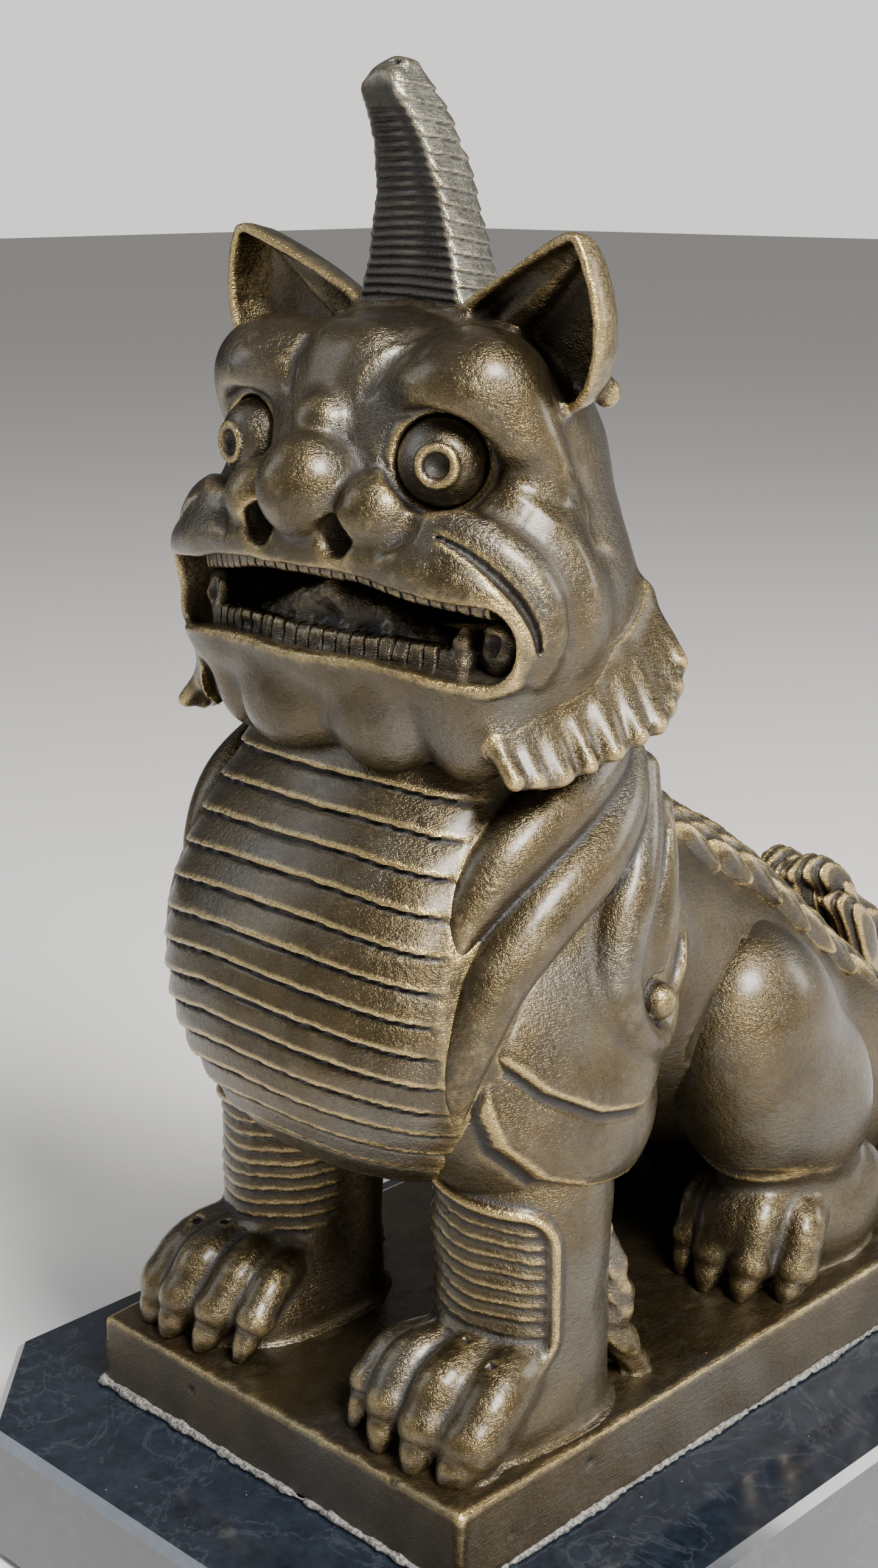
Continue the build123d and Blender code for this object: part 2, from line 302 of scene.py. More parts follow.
def chest_body():
    """The barrel of the chest and neck, squarer than an ellipse, its girth set along the height."""

    def distance(x, y, z):
        girth = np.interp(z, CHEST_HEIGHTS, CHEST_GIRTHS).astype(np.float32)
        deep = np.where(y < 35, 38.0, 34.0)
        back = y - 35 - np.maximum(z - 85, 0) * 0.22
        around = (np.abs(x / 41.0) ** 2.35 + np.abs(back / deep) ** 2.35) ** (1 / 2.35)
        return (around - girth) * 33.0

    return (-44, -6, 28), (44, 78, 128), distance


def barrel():
    """The body behind the chest, broader than it is deep."""
    measure = along(((0, 48, 79, 30), (0, 92, 53.8, 28.2), (0, 128, 28, 26.5)), 2)[-1]

    def distance(x, y, z):
        d, r = measure(x / 1.2, y, z)
        return d - r

    return (-40, 10, -5), (40, 160, 125), distance


def lames():
    """Heights of the overlapping bands across the chest, thickest at each lower edge."""
    wander = waver(3, 24)
    chips = waver(4, 3.5)

    def heights(x, y, z):
        level = z + (9.0 - 0.05 * z) * (np.abs(x) / 34.0) ** 2 + 0.28 * wander(x, y, z) + 0.08 * chips(x, y, z)
        turn = (LAME_TOP - level) / LAME_PITCH
        part = turn - np.floor(turn)
        face = 1.05 * part - 0.55 * bump(part - 0.03, 0.11)
        edge = 1.0 - ramp(part, 0.90, 1.0)
        inside = ramp(turn, -0.05, 0.0) * (1.0 - ramp(turn, LAME_COUNT - 1.0, LAME_COUNT))
        beside = np.abs(x) - panel_half_width(z)
        panel = (1.0 - ramp(beside, -4.0, 0.8)) * ramp(y, 38, 30)
        border = -1.3 * ramp(beside, -0.5, 2.5) * ramp(z, 48, 58) * ramp(y, 38, 30)
        return face * edge * inside * panel - 0.25 * panel * inside + border

    return (-40, -8, 40), (40, 40, 114), heights


def panel_half_width(z):
    return np.interp(z, (40, 50, 62, 85, 100, 112), (24, 29.5, 32.4, 32.4, 29.0, 26))


def side_recess(x, y, z):
    """Room under the shoulder, so that the chest doesn't show through it."""
    return -6.0 * ramp(np.abs(x), 31, 37) * bump(y - 36, 20) * ramp(z, 44, 52) * ramp(z, 104, 98)


def sculpt_torso():
    clay = Clay((-46, -8, -2), (46, 164, 134))
    clay.add(chest_body())
    clay.add(barrel(), 10)
    clay.add(egg((0, 132, 24), (31, 26, 30)), 8)
    clay.add(egg((0, 46, 106), (29, 26, 26)), 10)
    clay.swell(lames())
    clay.swell(anywhere(side_recess))
    for s in (-1, 1):
        clay.cut(stroke(sided(s, [(29.5, 20, 108, 1.4), (31.5, 17, 97, 1.2), (34, 12, 86, 0.8)])), 1.5)
        # A loose leaf on the flank behind the pearl, with a vein.
        clay.add(stroke(sided(s, [(34.6, 57, 66, 2.8), (34.6, 60.5, 72, 3.4), (33.6, 64.5, 79.5, 1)]), 5), 0.8)
        clay.cut(stroke(sided(s, [(38.2, 57.2, 69, 0.5), (37.6, 59.6, 73, 0.9), (36, 63.2, 78.4, 0.4)]), 5), 0.2)
        clay.swell(ridge(sided(s, [(31, 84, 68, 2), (34, 76, 60, 4), (35, 73, 48, 5), (34, 76, 34, 4.5)]), -1.8))
    clay.roughen((0.22, 11, 16))
    clay.keep(above(-0.4))
    return clay


# ---------------------------------------------------------------- shoulder: flame lobes, strap and pearl
HEM_Y = (8, 14.5, 17.5, 24, 34, 45, 54, 60)
HEM_UPPER = (79, 73, 68, 61.5, 56, 53.5, 57, 63)
HEM_LOWER = (70, 61, 53, 46.5, 42.4, 41, 44, 50)


def hems(x, y, z):
    """Two overlapping hems of the sleeve: each stands proud just above its edge."""
    total = 0.0
    for levels, proud in ((HEM_UPPER, 1.15), (HEM_LOWER, 1.5)):
        over = (z - np.interp(y, HEM_Y, levels)) * 0.85
        total = total + proud * ramp(over, -0.35, 0.35) * (1.0 - ramp(over, 1.5, 10.0)) - 0.5 * bump(over + 1.0, 1.2)
    return total * ramp(x, 26.0, 32.0) * ramp(y, 12.0, 17.0)


def sculpt_shoulder():
    clay = Clay((8, 6, 30), (50, 74, 118))
    clay.add(egg((26, 37, 62), (15.5, 24, 26)))
    clay.add(egg((25, 38, 51), (16.4, 20, 18)), 6)
    clay.add(egg((24, 50, 84), (15, 18, 26)), 8)
    clay.swell(anywhere(hems))
    # Three flame lobes fall forward from the back of the neck; the last curls round a pearl.
    upper = [
        (29.5, 52, 112, 3.4), (31.4, 45, 108.5, 5.2), (32.6, 35.5, 104, 6), (32.6, 26.5, 99.5, 5.8),
        (32, 20.5, 95, 4.9), (31.6, 16.3, 90, 3.5), (32, 13.6, 85, 1.2),
    ]
    lower = [
        (30.5, 54, 108, 3.6), (33.5, 48, 101.5, 5.4), (35.8, 39.5, 96, 6.2), (36.4, 31, 91.2, 6.4),
        (35.8, 23.5, 85.5, 6), (34.8, 18, 79, 5.4), (34, 14.6, 71, 4.3), (33.2, 13.3, 64.5, 2.9),
        (32.6, 13.4, 58, 0.9),
    ]
    strap = [
        (30.5, 56, 105, 3.8), (33.6, 52, 97, 4.6), (36.2, 47.5, 90, 5), (37.4, 43, 82, 5.3), (38, 41.5, 74.5, 5.2),
        (38.4, 43.6, 67.6, 4.6), (38, 48.8, 62.6, 3.8), (36.8, 54.8, 61.6, 3), (35.6, 59.2, 65, 2.2),
        (35.2, 60.4, 69.5, 1),
    ]
    rear = [
        (32.5, 58, 99, 3.4), (35, 56, 90, 3.8), (36.4, 54, 81.5, 3.8), (37, 52.6, 75, 2.6), (37.2, 52, 71, 1),
    ]
    pearl = (39.2, 51.9, 69.0)
    clay.add(stroke(rear, 6), 1.4)
    clay.swell(ridge([(x + 1.8, y + 5, z, 1.4) for x, y, z, r in strap[1:4]], -0.8, 6))
    clay.add(stroke(strap, 6), 1)
    clay.cut(hoop(pearl, (1, 0.1, 0), 3.9, 0.75), 0.4)
    clay.add(egg(pearl, (3.2, 3.2, 3.3)), 0.1)
    clay.swell(ridge([(x, y, z, r + 1.4) for x, y, z, r in lower[2:]], -0.7, 6))
    clay.add(stroke([(x - 0.8, y - 0.5, z, r) for x, y, z, r in lower], 6), 0.4)
    clay.add(stroke([(x - 0.6, y - 0.5, z, r) for x, y, z, r in upper], 6), 0.4)
    clay.roughen((0.18, 21, 13))
    return clay


# ---------------------------------------------------------------- head
EYES = {1: np.array((18.6, 23.6, 157.6)), -1: np.array((-19.8, 22.4, 157.6))}
GAZES = {1: np.array((0.56, -0.83, 0.0)), -1: np.array((-0.18, -0.98, 0.0))}  # they don't look the same way
EYE_RADIUS = 7.0


def mouth_gap():
    """The open mouth: a wide slot that wraps the muzzle and narrows inwards."""

    def distance(x, y, z):
        side = np.abs(x)
        top = np.interp(side, (0, 9, 16, 24, 32, 36, 42), (141.6, 141.6, 140.7, 139.4, 138.4, 138.4, 138.4))
        bottom = np.interp(side, (0, 16, 24, 30, 36, 42), (128.2, 128.4, 127.9, 126.9, 126.2, 126.2))
        middle = (top + bottom) / 2
        half = (top - bottom) / 2
        wide = 39.6 - 0.55 * np.maximum(y - 15.0, 0.0)
        round_end = 5.6
        u = np.maximum(side - (wide - round_end), 0.0) / round_end
        v = np.abs(z - middle) / half
        slot = (np.sqrt(u * u + v * v) - 1.0) * np.where(u > v, round_end, half)
        return np.maximum(slot, (y - 33.0) * 0.7)

    return (-46, -4, 118), (46, 36, 150), distance


NOSE = 1.8  # the nose stands a little to the beast's left
BROW_RIM = [
    (12, 20.5, 168, 2.2), (17, 19.2, 168.8, 2.5), (22, 19.8, 168.6, 2.6), (26.6, 22.2, 166.6, 2.5),
    (29.8, 26, 161.6, 2.2),
]
TEMPLE = [(24, 27, 167.5, 6.6), (28.6, 28.5, 163, 5.6), (31, 32, 156.5, 4.2), (31.5, 36, 150, 3)]
CHEEK = [(24, 26, 150, 3.6), (29.6, 26.8, 149, 5), (33.2, 30.5, 144, 6), (34.4, 33, 136, 6), (33, 33.5, 128, 5)]
MUZZLE = [
    (2, 15.6, 143.6, 3.2), (11, 15.8, 143.8, 3.8), (19, 16, 144.4, 4.6), (26, 17.2, 144.6, 5.4),
    (31.5, 19.4, 142.4, 4.6),
]
CRESCENT = [
    (17.5, 15.6, 149.6, 2.2), (23, 16.8, 149.4, 3.2), (28.4, 18.6, 147.8, 3.6), (33.2, 20.6, 145.2, 3.7),
    (36.6, 22.6, 141.4, 3.5), (38.2, 24.2, 136.6, 3.1), (38.6, 24.6, 131.6, 2.4), (37.4, 24, 127.4, 1.2),
]
UPPER_LIP = [
    (0, 10.8, 144.4, 2.5), (8, 10.8, 144.6, 2.7), (16, 11.2, 143.9, 2.7), (24, 12, 142.6, 2.7), (
        30.5, 14.2, 141.2, 2.5,
    ),
    (35, 17, 139, 2.1), (37.4, 19.4, 135.4, 1.6), (37.9, 20.4, 131.5, 1.4), (36.4, 19.4, 127.4, 1.4),
]
LIP_GROOVE = [
    (25.6, 14.4, 148, 0.35), (29, 14.8, 146.9, 0.65), (32.2, 16, 145, 0.85), (35.6, 17.4, 142.2, 1),
    (37.9, 19.4, 138.8, 1), (39.5, 20.8, 135, 0.85), (39.8, 21.6, 131.8, 0.5),
]
CHEEK_GROOVE = [
    (27, 19.5, 153, 2.6), (33, 23.2, 150.4, 3.2), (37.6, 27.2, 145.6, 3.4), (40.2, 29, 139, 3.2), (40.6, 29, 132, 2.6),
]
NOSE_CREASE = [(15, 12, 145, 1), (19.2, 14, 147.8, 1.3), (20, 17, 152, 1.2), (17.5, 18, 156, 0.8)]
NOSTRIL = [(8, 3, 144.4, 3.1), (8.6, 9, 147.2, 3), (8.8, 13.5, 149.2, 1.8)]
BROW_FURROW = [(8.2, 17.2, 167, 1.4), (10, 19.4, 170.6, 2), (12, 23, 174.4, 0.8)]
FURROW_LIP = [(7, 17.6, 169, 0.9), (8, 19, 171.2, 1.1), (9.6, 22, 174.4, 0.6)]
WRINKLES = (  # the nick in the brow and two crow's feet
    [(19.4, 19, 174, 1), (18.6, 18, 170.6, 1.3), (17.2, 18.4, 167, 1)],
    [(31.5, 27, 160, 0.7), (34, 32, 157, 0.9), (35, 37, 155, 0.4)],
    [(31.5, 27.5, 156.6, 0.7), (34, 32, 153.6, 0.9), (35.2, 37, 151.6, 0.4)],
)
LOWER_LIP = [
    (0, 9.7, 127.5, 0.95), (8, 10, 127.6, 0.95), (16, 11, 127.5, 0.95), (24, 12.8, 126.8, 0.95),
    (30, 14.8, 125.7, 0.95), (34.2, 17.2, 125.5, 0.95), (36.8, 19.2, 127, 0.95), (38, 20.6, 130, 0.95),
]
CHIN_LOBES = ((-30, 5, 27), (-22, 6, 22), (-7, 11, 17.2), (13, 9.4, 17.6), (26, 8, 22.4))  # x, half width, y


def sculpt_head():
    clay = Clay((-46, -4, 104), (46, 78, 190))
    clay.add(egg((0, 40, 151), (29.5, 28, 28)))
    for centre, radii, blend in (
        ((0, 38, 134), (37, 31.5, 23), 8),
        ((0, 36.5, 163), (29, 19.5, 14.8), 5),
        ((0, 24, 139), (27, 13.5, 11), 6),
        ((0, 25.5, 119), (27.5, 13.8, 9.6), 4),
        ((0, 22, 125), (31, 12.2, 5.5), 3),
    ):
        clay.add(egg(centre, radii), blend)
    for s in (-1, 1):
        clay.add(egg((s * 24, 25, 134), (15.5, 14.5, 16)), 8)
        # Brow: a soft swelling over the eye that runs down into the temple.
        clay.add(egg((s * 21, 27.4, 169), (11, 11.2, 8.2)), 4)
        clay.add(stroke(sided(s, BROW_RIM), 4), 3)
        clay.add(stroke(sided(s, TEMPLE)), 5)
        # Cheek: bone under the eye, running down behind the corner of the mouth.
        clay.add(stroke(sided(s, CHEEK)), 5)
        # Muzzle: the upper lip's pillow, then the crescent fold round the corner of the mouth.
        clay.add(stroke(sided(s, MUZZLE)), 3)
        clay.add(stroke(sided(s, CRESCENT)), 2.6)
        clay.add(stroke(sided(s, UPPER_LIP)), 2.6)
        clay.swell(etch(sided(s, LIP_GROOVE), -1, (s * 0.75, -0.65, 0.1), 4))
        clay.swell(ridge(sided(s, CHEEK_GROOVE), -0.5))
    # Nose: two wings, the bulb and the bridge.
    for s in (-1, 1):
        clay.swell(etch(sided(s, NOSE_CREASE, NOSE), -0.3, (s * 0.4, -0.9, 0)))
        clay.add(egg((NOSE + s * 12.6, 14.2, 150.4), (6.5, 7.2, 6.3)), 1.2)
    clay.add(egg((NOSE + 0.8, 11.3, 153.6), (8.2, 9, 8.5)), 1.4)
    clay.add(egg((NOSE - 0.6, 15.6, 162.4), (5.6, 5.6, 4.8)), 1.4)
    clay.add(egg((0.6, 22.6, 168.6), (7.4, 5, 6.6)), 4.5)
    for s in (-1, 1):
        eye, gaze = EYES[s], GAZES[s]
        # The eye's socket with a thin lid round it.
        clay.cut(egg(eye + gaze * 4, (8.6, 8.6, 8.4)), 2)
        clay.cut(egg(eye + gaze, (7.7, 7.7, 7.7)), 0.8)
        clay.add(hoop(eye + gaze * 2.4, gaze, 7.9, 0.75), 0.6)
        clay.add(egg(eye - gaze * 4, (6.6, 6.6, 6.6)), 0.6)
        # Furrow from the bridge up the forehead, with a crisp inner lip.
        clay.swell(etch(sided(s, BROW_FURROW), -0.5, (0, -0.9, 0.4)))
        clay.swell(etch(sided(s, FURROW_LIP), 0.25, (0, -0.9, 0.4)))
        clay.add(egg((s * 3.6, 23.2, 171), (4.6, 4.6, 5.6)), 4)
        for wrinkle in WRINKLES:
            clay.swell(ridge(sided(s, wrinkle), -0.35))
        clay.cut(stroke(sided(s, NOSTRIL, NOSE)), 0.9)
    # Mouth: pocket, then the thin lower lip, then the lobes of the chin.
    clay.cut(mouth_gap(), 1)
    for s in (-1, 1):
        clay.add(stroke(sided(s, LOWER_LIP)), 0.9)
    lobes = Clay(clay.low, (46, 78, 190))
    for x, half_width, y in CHIN_LOBES:
        lobes.add(egg((x, y, 118), (half_width, 8.2, 8.6)), 1.4)
    clay.field = smooth_min(clay.field, lobes.field, 3.4)
    clay.roughen((0.16, 31, 12), (0.07, 32, 5))
    return clay


def sculpt_eye(side):
    eye, gaze = EYES[side], GAZES[side]
    clay = Clay(eye - 11.0, eye + 11.0, PITCH / 2)
    front = eye + gaze * (EYE_RADIUS + 0.9)
    clay.add(egg(eye + gaze * 0.9, (EYE_RADIUS,) * 3))
    clay.add(hoop(front - gaze * 0.6, gaze, 2.9, 0.36), 0.9)
    clay.cut(egg(front + gaze * 0.1, (2.15, 2.15, 2.15)), 0.4)
    clay.roughen((0.07, 41, 4))
    return clay


def tooth_row(upper):
    """A strip of teeth round the jaw, notched between the teeth."""
    clay = Clay((-36, 4, 122), (36, 36, 146), PITCH / 2)
    reach = 32.0 if upper else 26.5
    notch = 2.75 if upper else 3.0
    uneven = waver(45 if upper else 46, 7)

    def distance(x, y, z):
        side = np.abs(x)
        arch = (12.6 if upper else 12.4) + 8.5 * (side / 36.0) ** 2.4
        wobble = 0.35 * uneven(x, 0 * y, 0 * z)
        if upper:
            level = np.interp(side, (0, 9, 16, 24, 32, 36), (142.2, 142.2, 141.0, 139.6, 138.6, 138.6))
            edge = z - (level - 2.9 + wobble)
            depth = np.maximum(-edge, z - level - 1.5)
        else:
            level = np.interp(side, (0, 16, 24, 30, 36), (128.2, 128.4, 127.9, 126.9, 126.2))
            edge = level + 3.0 + wobble - z
            depth = np.maximum(-edge, level - 2.0 - z)
        lean = 0.25 * np.maximum(edge, 0.0)
        wall = np.abs(y - arch - 1.8 + lean * 0.4) - 1.7
        body = -smooth_min(-wall, -depth, 1.2)
        body = np.maximum(body, side - reach)
        travel = x * (1.0 + 0.2 * (side / 36.0) ** 2) + 0.5 * uneven(0.6 * x, 0 * y + 9, 0 * z)
        gap = np.abs(((travel / notch + 0.5) % 1.0) - 0.5) * notch
        carve = 0.8 * bump(gap, 0.36) * (np.abs(y - arch) < 2.4)
        return body + carve - 0.1

    clay.add(anywhere(distance))
    return clay


def sculpt_lower_teeth():
    clay = tooth_row(False)
    for s in (-1, 1):
        clay.add(stroke(sided(s, [(26.6, 18.4, 126.5, 2.4), (27.2, 18.6, 130.5, 1.9), (27.4, 18.8, 133.6, 0.8)])), 0.5)
        clay.add(egg((s * 31.6, 22.5, 130.8), (3.4, 3, 4.6)), 0.6)
        clay.cut(egg((s * 31.8, 19.6, 131.6), (1.3, 1.3, 1.8)), 0.8)
    clay.roughen((0.18, 47, 2.2))
    return clay


def sculpt_tongue():
    clay = Clay((-30, 12, 120), (30, 38, 142))
    clay.add(egg((0, 23.5, 126.5), (24, 9.5, 7.6)))
    clay.add(stroke([
        (-16, 22, 129, 2.6), (-7, 18.6, 133.2, 2.6), (-1, 18, 136, 2.2), (6, 18.8, 134, 2.6),
        (17, 22, 129.5, 2.8), (25, 25, 126.5, 2.4),
    ]), 3.5)
    clay.roughen((0.4, 48, 3), (0.2, 49, 1.6))
    return clay


# ---------------------------------------------------------------- ears, horn and ruff
EAR_OUTLINE = (
    (10, 178.5), (14, 181.4), (20, 184.4), (26, 187.2), (31, 189.4), (35, 190.9), (37.2, 190.6), (38.8, 187.5),
    (40.2, 183), (40.8, 178), (40.2, 173), (38.2, 168.6), (35.2, 165.6), (31.5, 164), (24, 165), (14, 172),
)


def leaf_distance(x, z):
    """Distance in the upright plane from the outline of the ear, negative inside."""
    px, pz = (np.broadcast_to(v, np.broadcast_shapes(x.shape, z.shape)) for v in (x, z))
    best = np.full(px.shape, 1e6, np.float32)
    inside = np.zeros(px.shape, bool)
    for (ax, az), (bx, bz) in zip(EAR_OUTLINE, EAR_OUTLINE[1:] + EAR_OUTLINE[:1]):
        rx, rz = bx - ax, bz - az
        t = np.clip(((px - ax) * rx + (pz - az) * rz) / (rx * rx + rz * rz), 0.0, 1.0)
        best = np.minimum(best, np.hypot(px - ax - t * rx, pz - az - t * rz))
        crosses = (az > pz) != (bz > pz)
        inside ^= crosses & (px < ax + rx * (pz - az) / (rz if rz else 1e-9))
    return np.where(inside, -best, best)


def sculpt_ear(head):
    clay = Clay((6, 16, 156), (50, 60, 196))

    def shell(shrink, front):
        def distance(x, y, z):
            behind = y - (33.0 - 0.12 * (z - 178.0)) + 0.10 * (x - 30.0)
            rim = leaf_distance(x, z) + shrink
            swell = 0.060 * np.maximum(behind - 1.0, 0.0) ** 2
            return np.maximum((rim + swell) * 0.85, -behind - front)

        return anywhere(distance)

    clay.add(shell(0.0, 0.0))
    clay.field = blurred(clay.field, 1)
    hollow = Clay((6, 16, 156), (50, 60, 196))
    hollow.add(shell(1.4, 4.0))
    depth = anywhere(lambda x, y, z: y - (40.5 - 0.12 * (z - 178.0)) + 0.10 * (x - 30.0) + 0 * x)
    hollow.keep(depth, 3.0)
    clay.field = -smooth_min(-clay.field, hollow.field, 0.7)
    clay.add(stroke([
        (17, 39.5, 176.5, 2.6), (23, 38.6, 181, 2.6), (29, 37.4, 185.4, 1.8), (33.4, 36.2, 188.4, 0.8),
    ]), 2.4)
    clay.swell(ridge([(20, 35.5, 179, 0.9), (26, 35.2, 183.2, 0.9), (31, 34.8, 186.6, 0.5)], -0.5))
    clay.add(egg((34.4, 42, 167.4), (2, 2, 2.2)), 1)
    weld(clay, head, 2.6, 1.6)
    clay.roughen((0.12, 51, 9))
    return clay


def weld(part, host, blend, reach):
    """Fills the angle between a part and its host. The host keeps what is within that reach of its own surface."""
    base = sample_block(host, part)
    joined = smooth_min(part.field, base, blend)
    sunk = 0.12 * (1.0 - ramp(base, reach - 0.4, reach + 0.1))
    fillet = sample_block(Clay.of(joined, part.axes, part.pitch), host)
    part.field = np.maximum(joined + sunk, reach - 0.8 - base)
    host.field = np.minimum(host.field, np.maximum(fillet, host.field - reach))


def sample_block(source, target):
    """The source's distances on the target's grid, FAR where they don't overlap."""
    out = source.field
    covered = []
    for i in range(3):
        place = (target.axes[i] - float(source.axes[i][0])) / source.pitch
        count = out.shape[i]
        covered.append((place >= -0.001) & (place <= count - 0.999))
        place = np.clip(place, 0, count - 1.0001)
        cell = place.astype(int)
        shape = [1, 1, 1]
        shape[i] = len(place)
        share = (place - cell).astype(np.float32).reshape(shape)
        out = out.take(cell, axis=i) * (1.0 - share) + out.take(cell + 1, axis=i) * share
    mask = covered[0][:, None, None] & covered[1][None, :, None] & covered[2][None, None, :]
    return np.where(mask, out, FAR).astype(np.float32)


HORN_HEIGHTS = (172, 176, 186, 196, 203.4, 207, 210.5, 216)
HORN_FRONTS = (33.4, 33.6, 34.6, 34.0, 32.1, 30.5, 28.2, 26.2)
HORN_BACKS = (51.6, 50.6, 48.4, 46.2, 44.2, 43.0, 41.4, 38.0)
HORN_HALVES = (13.4, 12.4, 9.6, 7.3, 5.8, 5.0, 4.2, 3.4)
HORN_TIP_Y = (24, 26.6, 29.2, 32, 35, 38, 40.5, 43)
HORN_TIP_TOP = (210.2, 211.8, 214.6, 215.9, 215.2, 212.9, 209.6, 204.0)


def sculpt_horn(head):
    clay = Clay((-16, 20, 168), (16, 56, 218), PITCH / 2)

    def section(x, y, z):
        """Distances outward from the horn's sides, its front and its back."""
        front = np.interp(z, HORN_HEIGHTS, HORN_FRONTS)
        back = np.interp(z, HORN_HEIGHTS, HORN_BACKS)
        half = np.interp(z, HORN_HEIGHTS, HORN_HALVES)
        depth = np.clip((y - front) / (back - front), 0.0, 1.2)
        wide = (np.abs(x) - half * (1.0 - 0.45 * depth**2.2)) * 0.93
        dished = 1.3 * bump(x / half, 0.8) * ramp(z, 178, 190) * (1.0 - 0.6 * ramp(z, 205, 211))
        return wide, (front + dished - y) * 0.97, (y - back) * 0.95

    def body(x, y, z):
        wide, ahead, behind = section(x, y, z)
        round_edge = 1.3
        ends = np.maximum(ahead, behind)
        corner = np.sqrt(np.maximum(wide + round_edge, 0) ** 2 + np.maximum(ends + round_edge, 0) ** 2)
        tube = corner + np.minimum(np.maximum(wide, ends) + round_edge, 0.0) - round_edge
        top = np.interp(y, HORN_TIP_Y, HORN_TIP_TOP)
        return -smooth_min(-tube, -(z - top + 0.12 * x * x) * 0.75, 1.4)

    def grooves(x, y, z):
        wide, ahead, behind = section(x, y, z)
        level = z + 0.28 * waver(61, 9)(x, y, z)
        flank = ramp(wide - np.maximum(ahead, behind), -1.2, 0.6)
        fine = (level - 0.10 * (y - 33.0) + 0.004 * x * x) / 1.5
        broad = (level + 0.10 * (y - 40.0)) / 2.45
        step = np.abs(fine - np.round(fine)) * 1.5
        part = broad - np.floor(broad)
        front_cut = -0.55 * bump(step, 0.6)
        side_cut = 0.55 * (1.0 - part) - 0.6 * bump(part - 0.02, 0.15) - 0.2
        live = ramp(level, 177.5, 180.0) * (1.0 - ramp(level - 3.4 * flank, 208.0, 209.6))
        rim = bump(wide - ahead, 0.8)
        return live * (flank * side_cut + (1.0 - flank) * front_cut) * (1.0 - 0.8 * rim)

    clay.add(anywhere(body))
    clay.swell(anywhere(grooves))
    clay.swell(anywhere(lambda x, y, z: 0.25 * waver(62, 4)(x, y, z) * ramp(z, 206, 211)))
    clay.roughen((0.10, 63, 5))
    for x, y, z, r in ((1, 31, 214.6, 0.8), (-1.4, 34, 215, 0.6), (-6.6, 34, 180.2, 0.6)):
        clay.cut(egg((x, y, z + 0.2), (r, r, r)), 0.3)
    weld(clay, head, 1.4, 0.8)
    return clay


RUFF_ROOT = [(29.5, 19.4, 122), (32.4, 26, 122.4), (34.4, 35, 124), (34.4, 45, 127.4), (32.8, 51.5, 131), (31, 55, 134)]
RUFF_HEM = [
    (37.4, 18.6, 111.6), (39.2, 26, 111.2), (41.4, 34.5, 113.6), (42.2, 43, 116.8), (41.4, 49.5, 119.8),
    (39.4, 54.5, 124.5),
]


def sculpt_ruff(head):
    """A short frill below the jaw: a pleated sheet that grows out of the head."""
    clay = Clay((18, 10, 100), (50, 66, 146))
    inner = smooth_path(RUFF_ROOT, 4)
    outer = smooth_path(RUFF_HEM, 4)
    uneven = np.random.default_rng(72).uniform(-1.0, 1.0, (60, 3))
    count = 37
    for i in range(count):
        share = i / (count - 1) * (len(inner) - 1)
        k = min(int(share), len(inner) - 2)
        a = mix(inner[k], inner[k + 1], share - k)
        b = mix(outer[k], outer[k + 1], share - k)
        fold = math.cos(2 * math.pi * i / 4 + 0.5 * uneven[i // 4, 1])
        lift = np.array((0.75, -0.3, 0.3)) * fold * (1.0 + 0.35 * uneven[i // 4, 0])
        reach = mix(a, b, 0.98 + 0.03 * fold + 0.07 * uneven[i // 4, 2])
        slim = 0.72 if i < 3 else 1.0
        middle = mix(a, b, 0.5) + lift * 0.4
        clay.add(stroke([(*a, 2.0 * slim), (*middle, 1.8 * slim), (*(reach + lift), 1.5 * slim)]), 1.2)
    clay.add(stroke([tuple(p) + (1.9,) for p in inner[::2]]), 2)
    clay.cut(egg((39.5, 22, 109.6), (2.6, 1.8, 1.4)), 0.5)
    clay.roughen((0.2, 71, 5))
    weld(clay, head, 3.0, 1.0)
    return clay


# ---------------------------------------------------------------- legs and feet
def skirt(clay, blend=2.4):
    """A small fillet where the piece meets the plinth's top."""
    old = clay.field
    _, x, y, z = clay.window(clay.low - 1, clay.low + 1e6)
    ground = z + 0.1 + 0 * x + 0 * y
    new = smooth_min(old, ground, blend)
    new = np.maximum(new, old - blend * 1.1)
    clay.field = np.maximum(new, -z - 0.5 + 0 * x + 0 * y).astype(np.float32)


def toe(clay, root, knuckle, second, tip, size, blend=1.2):
    clay.add(stroke([root + (size,), knuckle + (size * 1.06,), second + (size,)], 5), blend)
    clay.add(egg(second, (size * 1.04, size * 1.08, size * 1.02)), 0.8)


def claw(clay, second, tip, size):
    """A short blunt claw from under the end of a toe down to the plinth."""
    top = (second[0], second[1] - 0.2 * size, second[2] - 0.35 * size)
    middle = tuple(mix(a, b, 0.5) for a, b in zip(top, tip))
    clay.add(stroke([top + (size * 0.78,), middle + (size * 0.68,), tip + (size * 0.36,)], 4), 0.15)


